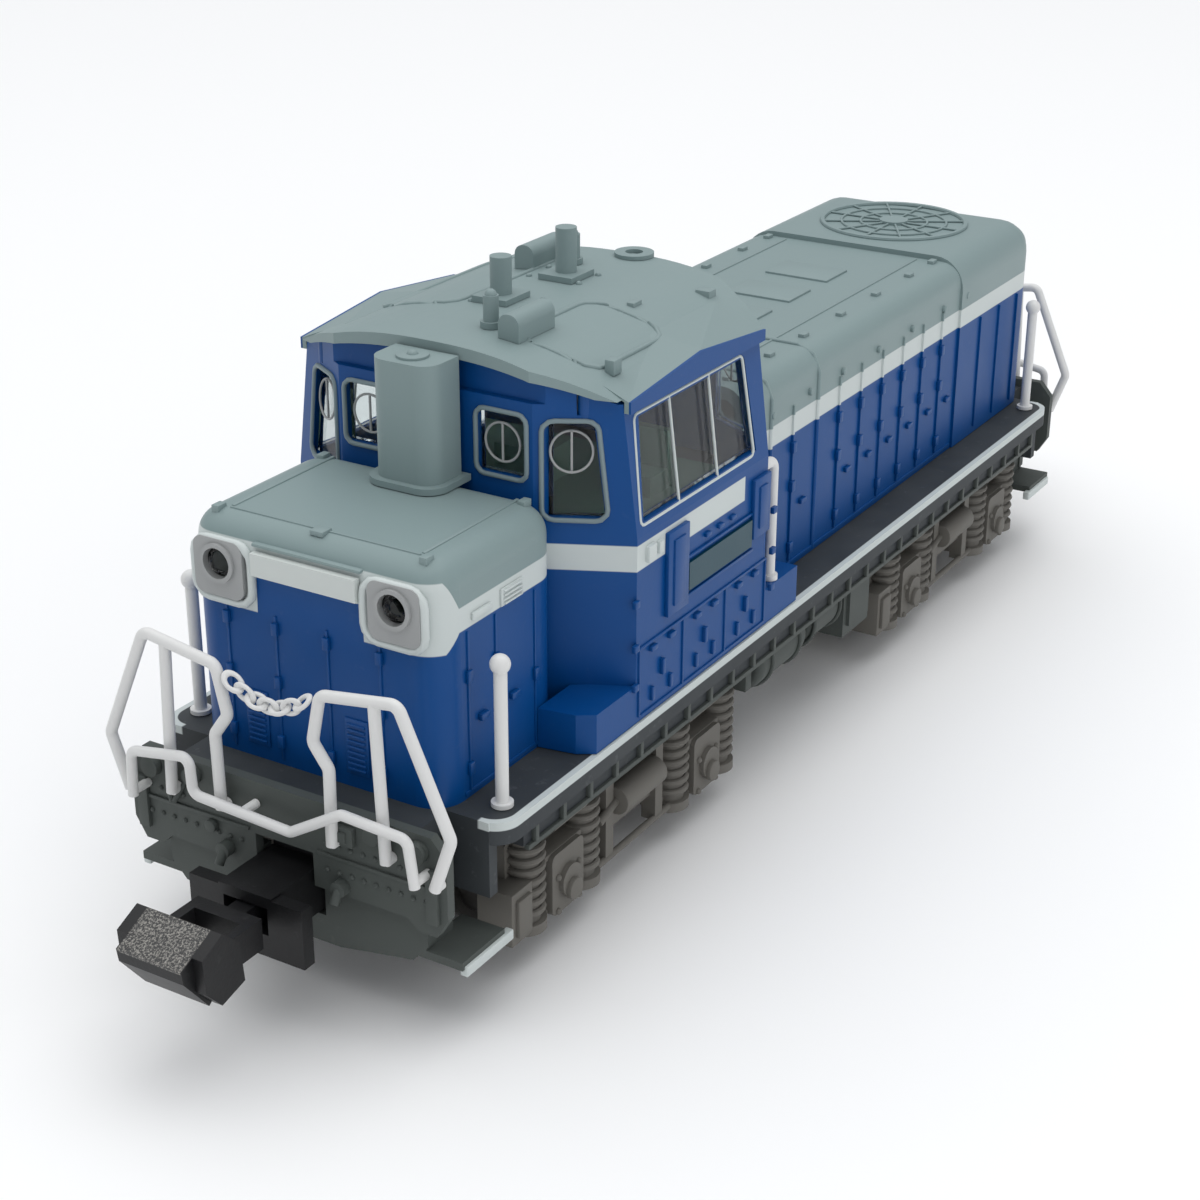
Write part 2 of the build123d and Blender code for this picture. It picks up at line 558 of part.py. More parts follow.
def make_cab():
    """Cab body with its window openings and low boxes, and the glazing."""
    body = plate_xy(cab_plan(0, CAB_HALF), DECK_TOP + FIT, BELT_Z) + cab_upper(0)
    gable = [(-CAB_EAVE_HALF, EAVE_Z)] + roof_profile(CAB_EAVE_HALF - 0.2, 0.75) + [(CAB_EAVE_HALF, EAVE_Z)]
    ends = plate_yz(gable, CAB_REAR + 0.3, CAB_FRONT - 0.3)
    body += ends & plate_xy(cab_plan(0, CAB_EAVE_HALF), EAVE_Z, CROWN_Z)
    body -= plate_xy(cab_plan(SHELL, CAB_HALF), DECK_TOP - 1, BELT_Z) + cab_upper(SHELL)
    body -= block(CAB_REAR + SHELL + 0.3, CAB_FRONT - SHELL - 0.3, -7.4, 7.4, EAVE_Z - 0.5, CROWN_Z)
    openings = window_prisms(0)
    for cut in openings:
        body -= cut
    # doorways into the bonnets keep the cab clear of the chassis and of the bonnet mouths
    wide, slim = CHASSIS_HALF + 0.15, NECK_HALF + 0.15
    body -= block(CAB_REAR - 1, CAB_REAR + 2, -wide, wide, DECK_TOP - 1, CHASSIS_TOP_LONG + 0.2)
    body -= block(CAB_FRONT - 1, CAB_FRONT + 1, -slim, slim, DECK_TOP - 1, CHASSIS_TOP_CAB + 1.2)
    for side in (-1, 1):
        inner, outer = side * (SHORT_HALF + FIT), side * CAB_HALF
        front = [(CAB_FRONT - 2.6, outer), (STEP_FRONT - 0.5, outer), (STEP_FRONT, outer - side * 0.8),
                 (STEP_FRONT + 0.3, inner), (CAB_FRONT - 0.6, inner)]
        body += plate_xy(front, DECK_TOP + FIT, STEP_TOP)
        inner = side * (LONG_HALF + FIT)
        rear = [(CAB_REAR + 2.6, outer), (STEP_REAR, outer), (STEP_REAR, inner), (CAB_REAR + 0.6, inner)]
        body += plate_xy(rear, DECK_TOP + FIT, STEP_TOP)
    save("cab_body", body)

    glass = cab_upper(0.22) - cab_upper(0.55)
    save("cab_glazing", *[glass & cut for cut in window_prisms(0.06)])
    plates = []
    for side in (-1, 1):
        plates.append(block(10.1, 16.4, side * (CAB_HALF + 0.01), side * (CAB_HALF + 0.16), 14.7, 16.1))
    save("number_plates", *plates)


def window_prisms(pad):
    """Every cab window opening as a prism, shrunk all round by pad."""
    side = side_window(pad, 7.0, 11.0)
    return [side, mirrored(side)] + end_windows(pad, CAB_FRONT - 3.0, CAB_FRONT + 1) \
        + end_windows(pad, CAB_REAR - 1, CAB_REAR + 3.0)


def roof_solid(grow):
    """The space the arched roof fills, thicker by grow."""
    half = CAB_EAVE_HALF + ROOF_OVER
    points = [(y, z + grow) for y, z in roof_profile(half, 0.0)[1:-1]]
    outline = [(-half, EAVE_Z - 1)] + [(-half, EAVE_Z + FIT + grow)] + points
    outline += [(half, EAVE_Z + FIT + grow)] + [(half, EAVE_Z - 1)]
    prism = plate_yz(outline, CAB_REAR - ROOF_OVER, CAB_FRONT + ROOF_OVER)
    return prism & plate_xy(cab_plan(-ROOF_OVER, CAB_EAVE_HALF), EAVE_Z - 1, CROWN_Z + 1)


def make_roof():
    """The arched cab roof, and the pipes, horns and marker boxes on it."""
    half = CAB_EAVE_HALF + ROOF_OVER
    under = [(-half - 1, EAVE_Z - 2), (-half - 1, EAVE_Z + FIT)] + roof_profile(half - 0.45, 0.6)[1:-1]
    under += [(half + 1, EAVE_Z + FIT), (half + 1, EAVE_Z - 2)]
    roof = roof_solid(0) - plate_yz(under, CAB_REAR - 1, CAB_FRONT + 1)
    x0, x1 = CAB_REAR + CAB_SWEEP, CAB_FRONT - CAB_SWEEP
    visor = [(x1, EAVE_Z - 0.4), (x0, EAVE_Z - 0.4), (x0, EAVE_Z + 0.15), ((x0 + x1) / 2, EAVE_Z + 0.8),
             (x1, EAVE_Z + 0.15)]
    for side in (-1, 1):
        roof += plate_xz(visor, side * (half - 0.19), side * (half + 0.15))
    save("cab_roof", roof)

    clear = roof_solid(0.02)
    pipes = []
    for x, y, high in ((16.3, -0.8, 2.1), (11.5, -0.2, 2.5)):
        base = block(x - 1.05, x + 1.05, y - 0.95, y + 0.95, CROWN_Z - 0.3, CROWN_Z + 0.3)
        pipes.append(base + rod_z(x, y, 0.52, CROWN_Z, CROWN_Z + high) - clear)
    save("roof_pipes", *pipes)
    horns, boxes = [], []
    for x, y, side in ((20.2, 1.25, 1), (9.2, -1.25, -1)):
        horn = rod_z(x, y, 0.5, CROWN_Z - 0.6, CROWN_Z + 0.3) + rod_z(x, y, 0.36, CROWN_Z, CROWN_Z + 1.5)
        horns.append(horn + Pos(x, y, CROWN_Z + 1.5) * Sphere(0.28) - clear)
        y0, y1 = y + side * 1.1, y + side * 2.2
        body = block(x + side * 1.1, x - side * 1.9, y0, y1, CROWN_Z - 0.6, CROWN_Z + 1.1)
        body = fillet(body.edges().filter_by(Axis.X).group_by(Axis.Z)[-1], 0.5)
        boxes.append(body - clear)
    save("horns", *horns)
    save("marker_boxes", *boxes)
    x = CAB_REAR + 0.1
    eye = rod_z(x, 0.6, 1.0, CROWN_Z - 0.35, CROWN_Z + 0.2) - rod_z(x, 0.6, 0.45, 0, CROWN_Z + 1)
    save("lifting_eye", eye - clear)

    stack = block(CAB_FRONT + ROOF_OVER + 0.1, STACK_END, -STACK_HALF, STACK_HALF, SHORT_TOP + FIT, STACK_TOP)
    stack = fillet(stack.edges().filter_by(Axis.Z).group_by(Axis.X)[-1], 0.9)
    wide = STACK_HALF + 0.35
    foot = block(CAB_FRONT + 0.1, STACK_END + 0.35, -wide, wide, SHORT_TOP + FIT, SHORT_TOP + 0.35)
    foot = fillet(foot.edges().filter_by(Axis.Z).group_by(Axis.X)[-1], 1.1)
    save("exhaust_stack", stack + foot - rod_z(STACK_END - 1.1, 0, 0.6, STACK_TOP - 0.5, STACK_TOP + 1))


def make_inside():
    """Cab floor with desk and seats, lamp boards and the prisms that carry their light."""
    floor_z = CHASSIS_TOP_LONG + FIT
    x0, x1 = CAB_REAR + CAB_SWEEP + 0.9, CAB_FRONT - CAB_SWEEP - 0.9
    desk = block(x0, x1, -7.4, 7.4, floor_z, floor_z + 0.5)
    desk += block(x0 + 4.2, x1 - 4.2, -1.5, 1.5, floor_z, floor_z + 2.2)
    for side in (-1, 1):
        desk += block(x0 + 3.5, x0 + 5.6, side * 4.4, side * 6.4, floor_z, floor_z + 1.5)
        desk += block(x0 + 3.5, x0 + 4.0, side * 4.4, side * 6.4, floor_z, floor_z + 3.4)
    save("cab_interior", desk)
    boards, guides = [], []
    for nose, side, top in ((SHORT_END, 1, CHASSIS_TOP_CAB), (LONG_END, -1, CHASSIS_TOP_LONG)):
        near = side * (CHASSIS_END - 0.4)
        board = block(near - side * 8, near, -3.2, 3.2, top + FIT, top + 0.55)
        lamp = block(near - side * 2.2, near - side * 1.0, -0.7, 0.7, top + 0.55, top + 1.0)
        boards.append(board + lamp)
        reach = LAMP_Y + 0.5
        guide = block(nose - side * 2.6, nose - side * 1.0, -reach, reach, LAMP_Z - 0.5, LAMP_Z + 0.45)
        guide += block(nose - side * 2.6, nose - side * 1.6, -0.6, 0.6, top + 1.05, LAMP_Z + 0.45)
        guides.append(guide)
    save("light_boards", *boards)
    save("light_guides", *guides)


# ---- Ends ---------------------------------------------------------------------------------
def end_plate():
    """Buffer plate with lobed lower corners and the coupler opening."""
    h, top, low = PLATE_HALF, PLATE_TOP, PLATE_LOW
    right = [(h - 0.8, top), (h, top - 0.9), (h, low + 1.0), (h - 0.6, low), (h - 1.6, low),
             (h - 2.1, low + 0.5)]
    mouth = [(1.6, low + 0.5), (1.6, 7.45)]
    points = right + mouth + [(-y, z) for y, z in reversed(right + mouth)]
    plate = plate_yz(points, PLATE_X - PLATE_THICK, PLATE_X)
    for side in (-1, 1):
        for y, z in ((7.4, 9.35), (4.9, 9.5)):
            plate += rod_x(side * y, z, 0.42, PLATE_X, PLATE_X + 0.2)
    return plate


def skirt():
    """Apron below the end plate, and the two footwell steps with their brackets."""
    x1 = PLATE_X - PLATE_THICK - FIT
    x0 = x1 - 0.6
    low, top = SKIRT_LOW, PLATE_LOW + 1.2
    points = [(-7.2, top), (-7.2, 4.2), (-6.4, 3.3), (-2.4, low), (2.4, low), (6.4, 3.3), (7.2, 4.2),
              (7.2, top), (1.7, top), (1.7, 4.0), (-1.7, 4.0), (-1.7, top)]
    apron = plate_yz(points, x0, x1)
    for side in (-1, 1):
        apron += block(31.4, x1, side * 6.7, side * 9.0, 3.6, 4.0)
        apron += block(32.6, x1, side * 6.7, side * 7.1, 3.6, 8.4)
    return apron


def end_handrail(side):
    """One white handrail frame of a truck end, on the side given."""
    out_foot, in_foot, mid_foot, foot = 8.4, 3.05, 5.9, 8.5
    top = [(RAIL_X, side * out_foot, foot - 0.5), (RAIL_X, side * 9.3, 10.6), (RAIL_X, side * 6.8, 16.2),
           (RAIL_X, side * 2.8, 15.6), (RAIL_X, side * 2.3, 13.3), (RAIL_X, side * 3.1, 12.2),
           (RAIL_X, side * in_foot, foot)]
    middle = [(RAIL_X, side * mid_foot, foot), (RAIL_X, side * 5.6, 16.0)]
    rail = tube(top, TUBE_R, 0.5) + tube(middle, TUBE_R)
    for y, z in ((out_foot, foot - 0.4), (in_foot, foot + 0.1), (mid_foot, foot + 0.1)):
        rail += rod_x(side * y, z, TUBE_R, PLATE_X + 0.02, RAIL_X)
    return rail


def lever():
    """The bent uncoupling lever in front of the end plate, with its two bearings."""
    x = PLATE_X + 1.05
    path = [(x, -7.7, 8.1), (x, -7.6, 10.4), (x, -4.2, 11.0), (x, -4.1, 9.2), (x, 1.3, 8.9),
            (x, 4.1, 10.6), (x, 7.5, 10.4), (x, 7.8, 8.2)]
    rod = tube(path, TUBE_R * 0.9, 0.45)
    for y, z in ((-7.7, 8.3), (7.78, 8.4), (-1.4, 9.05)):
        rod += rod_x(y, z, TUBE_R * 0.8, PLATE_X + 0.03, x)
    return rod


def chain():
    """The sagging guard chain between the two handrail frames."""
    links = 7
    span = 2 * (2.45 - TUBE_R)
    pitch = span / links
    rings = []
    for k in range(links):
        y = -span / 2 + pitch * (k + 0.5)
        z = 14.35 + 0.9 * (2 * y / span) ** 2
        ring = Rot(0, 0, 0) * Torus(0.30, 0.105)
        tilt = math.degrees(math.atan(4 * 0.9 * y / span ** 2 * 2))
        face = 90 if k % 2 else 35
        rings.append(Pos(RAIL_X, y, z) * Rot(tilt, 0, 0) * Rot(0, face, 0) * scale(ring, by=(1, 1.55, 1)))
    shape = rings[0]
    for ring in rings[1:]:
        shape = shape + ring
    return shape


def make_ends():
    """Plates, skirts, rails, levers and chains at both ends, and the posts along the deck."""
    save("end_plates", end_plate(), turned(end_plate()))
    save("skirts", skirt(), turned(skirt()))
    for name, place in (("front", lambda s: s), ("rear", turned)):
        save(f"handrails_{name}", place(end_handrail(1)), place(end_handrail(-1)))
    save("uncoupling_levers", lever(), turned(lever()))
    save("guard_chains", chain(), turned(chain()))
    posts = []
    for sx in (-1, 1):
        for sy in (-1, 1):
            x, y = sx * 30.6, sy * 8.45
            post = rod_z(x, y, 0.3, DECK_TOP + FIT, POST_TOP) + Pos(x, y, POST_TOP) * Sphere(0.46)
            posts.append(post + rod_z(x, y, 0.5, DECK_TOP + FIT, DECK_TOP + 0.25))
    save("corner_posts", *posts)
    rails = []
    for sy in (-1, 1):
        y = sy * (CAB_HALF - 0.45)
        x = CAB_REAR + 0.55
        path = [(CAB_REAR + CAB_SWEEP - 0.35, y, 18.1), (x, y, 18.1), (x, y, STEP_TOP + 0.02)]
        rails.append(tube(path, TUBE_R, 0.5) + rod_z(x, y, 0.42, STEP_TOP + 0.02, STEP_TOP + 0.3))
    save("cab_handrails", *rails)


def coupler_box():
    """Draft box fixed under the chassis end, with the wide face bar in front of the plate."""
    top = COUPLER_Z + 1.3
    body = block(31.2, 38.0, -1.45, 1.45, COUPLER_Z - 1.0, top)
    body += block(31.2, 34.2, -1.45, 1.45, COUPLER_Z - 1.0, CHASSIS_LOW + 1.1)
    body += block(37.3, 38.0, -3.1, 3.1, 3.5, 6.4)
    body -= block(31.9, 39, -0.95, 0.95, COUPLER_Z - 0.6, COUPLER_Z + 0.75)
    wedge = [(COUPLER_PIVOT_X - 1.2, 0.95), (39.0, 1.25), (39.0, -1.25), (COUPLER_PIVOT_X - 1.2, -0.95)]
    body -= plate_xy(wedge, COUPLER_Z - 0.6, COUPLER_Z + 0.75)
    pin = rod_z(COUPLER_PIVOT_X, 0, 0.4, COUPLER_Z - 0.7, COUPLER_Z + 0.85)
    return body + pin


def coupler_hook():
    """The sprung hook: eye on the pin, shank, open loop, and wedge head with its sloped striking face."""
    z0, z1 = COUPLER_Z - 0.5, COUPLER_Z + 0.65
    hook = rod_z(COUPLER_PIVOT_X, 0, 0.85, z0, z1) + block(COUPLER_PIVOT_X, 39.6, -0.5, 0.5, z0, z1)
    hook += block(39.0, 39.8, -HOOK_HALF, HOOK_HALF, z0, COUPLER_Z + 1.0)
    for side in (-1, 1):
        hook += block(39.0, 42.4, side * 1.25, side * HOOK_HALF, z0, COUPLER_Z + 1.0)
        cheek = [(40.9, z0 - 0.3), (41.1, 6.4), (42.1, HOOK_TOP), (43.4, HOOK_TOP - 0.6), (43.3, 5.0),
                 (42.4, 4.0)]
        hook += plate_xz(cheek, side * (HOOK_HALF - 0.05), side * (HOOK_HALF + 0.55))
    wedge = [(41.5, z0), (42.1, HOOK_TOP), (HOOK_END, 6.35), (HOOK_END - 0.1, 5.7), (42.6, 3.9)]
    hook += plate_xz(wedge, -HOOK_HALF, HOOK_HALF)
    return hook - rod_z(COUPLER_PIVOT_X, 0, 0.4 + RUN, 0, 20)


def make_couplers():
    """Both couplers."""
    save("coupler_boxes", coupler_box(), turned(coupler_box()))
    save("coupler_hook_front", coupler_hook())
    save("coupler_hook_rear", turned(coupler_hook()))


def main():
    """Builds every node."""
    make_drive()
    make_bogies()
    make_chassis()
    make_deck()
    make_bonnets()
    make_cab()
    make_roof()
    make_inside()
    make_ends()
    make_couplers()


main()
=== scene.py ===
"""Finish and fine detail of a small-scale diesel locomotive model, over its fixed frame."""
import math
import bpy
from mathutils import Matrix, Vector


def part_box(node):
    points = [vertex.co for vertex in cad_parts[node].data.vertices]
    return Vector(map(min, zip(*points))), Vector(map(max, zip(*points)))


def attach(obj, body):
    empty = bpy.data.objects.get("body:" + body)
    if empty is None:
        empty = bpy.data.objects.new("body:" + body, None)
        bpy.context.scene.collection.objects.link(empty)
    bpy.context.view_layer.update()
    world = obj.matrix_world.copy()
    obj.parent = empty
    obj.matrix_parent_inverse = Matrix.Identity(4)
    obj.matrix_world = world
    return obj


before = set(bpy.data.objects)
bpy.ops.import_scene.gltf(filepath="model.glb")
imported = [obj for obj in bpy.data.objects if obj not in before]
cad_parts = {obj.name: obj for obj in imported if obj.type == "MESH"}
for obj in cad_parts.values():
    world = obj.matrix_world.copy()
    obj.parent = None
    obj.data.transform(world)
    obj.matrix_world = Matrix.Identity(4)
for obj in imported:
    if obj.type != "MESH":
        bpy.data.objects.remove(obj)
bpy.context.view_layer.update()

MM = 0.001
BEYOND = 60.0       # millimetres, past every edge of the model


def low(node, axis):
    """A node's lowest coordinate on an axis, in millimetres."""
    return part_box(node)[0][axis] / MM


def high(node, axis):
    """A node's highest coordinate on an axis, in millimetres."""
    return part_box(node)[1][axis] / MM


DECK = high("deck", 2)


# ---- Camera and light -----------------------------------------------------------------------
def make_camera():
    """A short telephoto view from ahead, to the left and above."""
    bpy.ops.object.camera_add(location=(0.09976, 0.05512, 0.05673))
    camera = bpy.context.object
    camera.name = "view_camera"
    camera.data.lens = 66.2
    camera.data.sensor_width = 36.0
    camera.data.clip_start = 0.005
    camera.data.clip_end = 20.0
    back = Vector((0.781, 0.4719, 0.4092)).normalized()
    right = Vector((-0.5186, 0.855, 0.0037))
    right = (right - right.dot(back) * back).normalized()
    up = back.cross(right)
    camera.rotation_euler = Matrix((right, up, back)).transposed().to_euler()
    bpy.context.scene.camera = camera


def soft_light(name, place, aim, size, power):
    """A square soft light at a place, turned to a point."""
    bpy.ops.object.light_add(type="AREA", location=place)
    light = bpy.context.object
    light.name = name
    light.data.size = size
    light.data.energy = power
    light.rotation_euler = (Vector(aim) - Vector(place)).to_track_quat("-Z", "Y").to_euler()


def make_floor():
    """A wide matt white floor just under the wheels."""
    bpy.ops.mesh.primitive_plane_add(size=6.0, location=(0, 0, -0.0002))
    floor = bpy.context.object
    floor.name = "studio_floor"
    mat = bpy.data.materials.new("studio_white")
    mat.use_nodes = True
    shader = mat.node_tree.nodes["Principled BSDF"]
    shader.inputs["Base Color"].default_value = (0.95, 0.95, 0.95, 1)
    shader.inputs["Roughness"].default_value = 0.9
    floor.data.materials.append(mat)


def make_sky():
    """An even sky that lights softly and looks pale."""
    world = bpy.data.worlds.new("studio_sky")
    bpy.context.scene.world = world
    world.use_nodes = True
    sky = world.node_tree
    light = sky.nodes["Background"]
    light.inputs["Color"].default_value = (0.93, 0.96, 1.0, 1)
    light.inputs["Strength"].default_value = 0.40
    seen = sky.nodes.new("ShaderNodeBackground")
    seen.inputs["Color"].default_value = (0.93, 0.94, 0.95, 1)
    rays = sky.nodes.new("ShaderNodeLightPath")
    blend = sky.nodes.new("ShaderNodeMixShader")
    sky.links.new(rays.outputs["Is Camera Ray"], blend.inputs[0])
    sky.links.new(light.outputs[0], blend.inputs[1])
    sky.links.new(seen.outputs[0], blend.inputs[2])
    sky.links.new(blend.outputs[0], sky.nodes["World Output"].inputs["Surface"])


def make_studio():
    """Floor, sky and soft lights."""
    make_floor()
    make_sky()
    bpy.ops.object.light_add(type="SUN", location=(0, 0, 0.5), rotation=(0.15, -0.10, 0))
    sun = bpy.context.object
    sun.name = "light_even"
    sun.data.energy = 1.75
    sun.data.angle = 1.6
    soft_light("light_above", (0.02, 0.02, 0.35), (0, 0, 0.01), 0.30, 0.18)
    soft_light("light_side", (0.10, 0.32, 0.16), (0, 0, 0.015), 0.22, 0.16)
    bpy.context.scene.view_settings.view_transform = "Standard"


# ---- Shader groups and materials ------------------------------------------------------------
def new_group(name, inputs, outputs):
    """An empty shader node group with named sockets."""
    group = bpy.data.node_groups.new(name, "ShaderNodeTree")
    for label, kind, value in inputs:
        sock = group.interface.new_socket(label, in_out="INPUT", socket_type=kind)
        sock.default_value = value
    for label, kind in outputs:
        group.interface.new_socket(label, in_out="OUTPUT", socket_type=kind)
    return group, group.nodes.new("NodeGroupInput"), group.nodes.new("NodeGroupOutput")


def feed(tree, slot, value):
    """A number, a colour or another node's output into an input."""
    if isinstance(value, (int, float, tuple)):
        slot.default_value = value
    else:
        tree.links.new(value, slot)


def math_node(tree, kind, a, b=None, clamp=False):
    """A Math node; returns its output."""
    node = tree.nodes.new("ShaderNodeMath")
    node.operation = kind
    node.use_clamp = clamp
    feed(tree, node.inputs[0], a)
    if b is not None:
        feed(tree, node.inputs[1], b)
    return node.outputs[0]


def mix_colour(tree, factor, a, b):
    """A colour Mix node; returns its output."""
    node = tree.nodes.new("ShaderNodeMix")
    node.data_type = "RGBA"
    for slot, value in ((node.inputs[0], factor), (node.inputs[6], a), (node.inputs[7], b)):
        feed(tree, slot, value)
    return node.outputs[2]


def noise(tree, vector, size, detail=3.0, rough=0.55):
    """A Noise texture whose grain is about size millimetres; returns its value."""
    node = tree.nodes.new("ShaderNodeTexNoise")
    node.inputs["Scale"].default_value = 1.0 / (size * MM)
    node.inputs["Detail"].default_value = detail
    node.inputs["Roughness"].default_value = rough
    tree.links.new(vector, node.inputs["Vector"])
    return node.outputs[0]


def make_moulded_group():
    """Moulded plastic: slight colour drift, dust in the tone, and a fine skin in the height."""
    grey = (0.5, 0.5, 0.5, 1)
    group, enter, leave = new_group(
        "moulded_skin",
        [("Vector", "NodeSocketVector", (0, 0, 0)), ("Color", "NodeSocketColor", grey),
         ("Dust Color", "NodeSocketColor", grey), ("Dust", "NodeSocketFloat", 0.1),
         ("Roughness", "NodeSocketFloat", 0.4)],
        [("Color", "NodeSocketColor"), ("Roughness", "NodeSocketFloat"),
         ("Height", "NodeSocketFloat")])

    def calc(kind, a, b, clamp=False):
        return math_node(group, kind, a, b, clamp)

    vector, dust = enter.outputs["Vector"], enter.outputs["Dust"]
    drift = noise(group, vector, 4.0, 2.0)
    grain = noise(group, vector, 0.16, 2.0)
    specks = noise(group, vector, 0.7, 6.0, 0.7)
    speckled = calc("MULTIPLY", calc("SUBTRACT", specks, 0.60, True), 5.0, True)
    haze = calc("SUBTRACT", drift, 0.42, True)
    amount = calc("ADD", calc("MULTIPLY", speckled, dust), calc("MULTIPLY", haze, dust), True)
    tinted = mix_colour(group, amount, enter.outputs["Color"], enter.outputs["Dust Color"])
    group.links.new(tinted, leave.inputs["Color"])
    rough = calc("ADD", enter.outputs["Roughness"], calc("MULTIPLY", drift, 0.18))
    group.links.new(calc("SUBTRACT", rough, 0.09, True), leave.inputs["Roughness"])
    height = calc("ADD", calc("MULTIPLY", grain, 0.35), calc("MULTIPLY", specks, 0.25))
    group.links.new(height, leave.inputs["Height"])
    return group


def make_band_group():
    """A soft-edged mask that is 1 where a coordinate lies between two values, in millimetres."""
    group, enter, leave = new_group(
        "paint_band",
        [("Value", "NodeSocketFloat", 0.0), ("From", "NodeSocketFloat", 0.0),
         ("To", "NodeSocketFloat", 1.0), ("Soft", "NodeSocketFloat", 0.04)],
        [("Mask", "NodeSocketFloat")])
    value = enter.outputs["Value"]

    def edge(a, b):
        distance = math_node(group, "SUBTRACT", a, b)
        steps = math_node(group, "DIVIDE", distance, enter.outputs["Soft"])
        return math_node(group, "ADD", steps, 0.5, True)

    above = edge(value, enter.outputs["From"])
    below = edge(enter.outputs["To"], value)
    group.links.new(math_node(group, "MULTIPLY", above, below), leave.inputs["Mask"])
    return group


MOULDED = make_moulded_group()
BAND = make_band_group()

BLUE = (0.0, 0.062, 0.245, 1)
ROOF = (0.235, 0.310, 0.312, 1)
WHITE = (0.60, 0.65, 0.64, 1)
DUST = (0.42, 0.44, 0.44, 1)
DECK_GREY = (0.036, 0.042, 0.047, 1)
HOOK_BLACK = (0.006, 0.006, 0.007, 1)
# Painted highlight on the coupler hook's upward sloped face: a lighter grey over it, and bright
# speckle
HOOK_PAINTED_SHEEN = (0.09, 0.09, 0.09, 1)
HOOK_PAINTED_GLINT = (0.42, 0.40, 0.36, 1)

BAND_LOW = 17.3         # lower edge of the white waist band
SKIN_RELIEF = 0.03      # how deep the moulded skin is, in millimetres
RIPPLE_RELIEF = 0.02    # how deep the ripples in the glazing are


class Finish:
    """A material under construction: coordinates in millimetres, and helpers for its masks."""

    def __init__(self, name):
        self.mat = bpy.data.materials.new(name)
        self.mat.use_nodes = True
        self.tree = self.mat.node_tree
        self.shader = self.tree.nodes["Principled BSDF"]
        coords = self.tree.nodes.new("ShaderNodeTexCoord")
        self.vector = coords.outputs["Object"]
        split = self.tree.nodes.new("ShaderNodeSeparateXYZ")
        self.tree.links.new(self.vector, split.inputs[0])
        self.x, self.y, self.z = [self.calc("DIVIDE", out, MM) for out in split.outputs]
        self.side = self.calc("ABSOLUTE", self.y)

    def calc(self, kind, a, b=None, clamp=False):
        """One step of arithmetic."""
        return math_node(self.tree, kind, a, b, clamp)

    def band(self, value, start, end=BEYOND, soft=0.05):
        """A mask for values between two limits in millimetres."""
        node = self.tree.nodes.new("ShaderNodeGroup")
        node.node_tree = BAND
        for label, given in (("Value", value), ("From", start), ("To", end), ("Soft", soft)):
            feed(self.tree, node.inputs[label], given)
        return node.outputs["Mask"]

    def both(self, a, b):
        """The overlap of two masks."""
        return self.calc("MULTIPLY", a, b)

    def paint(self, mask, under, over):
        """One colour over another where a mask says."""
        return mix_colour(self.tree, mask, under, over)

    def relief(self, height, strength, depth):
        """A bump from a height, into the shader's normal."""
        lift = self.tree.nodes.new("ShaderNodeBump")
        lift.inputs["Strength"].default_value = strength
        lift.inputs["Distance"].default_value = depth * MM
        self.tree.links.new(height, lift.inputs["Height"])
        self.tree.links.new(lift.outputs["Normal"], self.shader.inputs["Normal"])

    def skin(self, colour, rough, dust, bump=0.25, gloss=0.32):
        """The moulded skin over a colour; finishes the material."""
        node = self.tree.nodes.new("ShaderNodeGroup")
        node.node_tree = MOULDED
        for label, given in (("Vector", self.vector), ("Color", colour), ("Roughness", rough),
                             ("Dust", dust), ("Dust Color", DUST)):
            feed(self.tree, node.inputs[label], given)
        self.tree.links.new(node.outputs["Color"], self.shader.inputs["Base Color"])
        self.tree.links.new(node.outputs["Roughness"], self.shader.inputs["Roughness"])
        self.relief(node.outputs["Height"], bump, SKIN_RELIEF)
        self.shader.inputs["Specular IOR Level"].default_value = gloss
        return self.mat


def plain(name, colour, rough, dust=0.08, metal=0.0, bump=0.25):
    """A moulded or metal finish of one tone with its own skin."""
    f = Finish(name)
    f.shader.inputs["Metallic"].default_value = metal
    return f.skin(colour, rough, dust, bump)


def short_bonnet_paint():
    """Blue sides, a white band that drops round the lamps, and a grey top."""
    side_top, front_top = 18.75, 20.1
    edge, lamp_drop, middle_lift = 17.65, -0.8, 1.1
    f = Finish("short_bonnet_paint")
    ahead = f.band(f.x, 31.5, soft=0.7)
    lamps = f.band(f.side, 2.85)
    between = f.calc("SUBTRACT", 1.0, lamps)
    drop = f.calc("MULTIPLY", f.both(ahead, lamps), lamp_drop)
    lift = f.calc("MULTIPLY", f.both(ahead, between), middle_lift)
    white_from = f.calc("ADD", f.calc("ADD", drop, lift), edge)
    grey_from = f.calc("ADD", f.calc("MULTIPLY", ahead, front_top - side_top), side_top)
    colour = f.paint(f.band(f.z, white_from), BLUE, WHITE)
    colour = f.paint(f.band(f.z, grey_from), colour, ROOF)
    return f.skin(colour, 0.38, 0.035, gloss=0.22)


def long_bonnet_paint():
    """Blue sides, a white band and a grey roof."""
    f = Finish("long_bonnet_paint")
    colour = f.paint(f.band(f.z, BAND_LOW), BLUE, WHITE)
    colour = f.paint(f.band(f.z, 18.4), colour, ROOF)
    return f.skin(colour, 0.40, 0.04, gloss=0.22)


def cab_paint():
    """Blue with a white waist band that stops short of the rear pocket."""
    f = Finish("cab_paint")
    white = f.both(f.band(f.z, BAND_LOW, 18.55), f.band(f.x, 10.7))
    outside = f.calc("MAXIMUM", f.band(f.side, 9.2, soft=0.1), f.band(f.x, 21.0, soft=0.1))
    return f.skin(f.paint(f.both(white, outside), BLUE, WHITE), 0.38, 0.03, gloss=0.22)


def cab_roof_paint():
    """Grey roof with blue fascias along its two sides."""
    f = Finish("cab_roof_paint")
    fascia = f.both(f.band(f.side, 8.99, soft=0.03), f.band(f.z, 20.0, 25.95))
    return f.skin(f.paint(fascia, ROOF, BLUE), 0.5, 0.10)


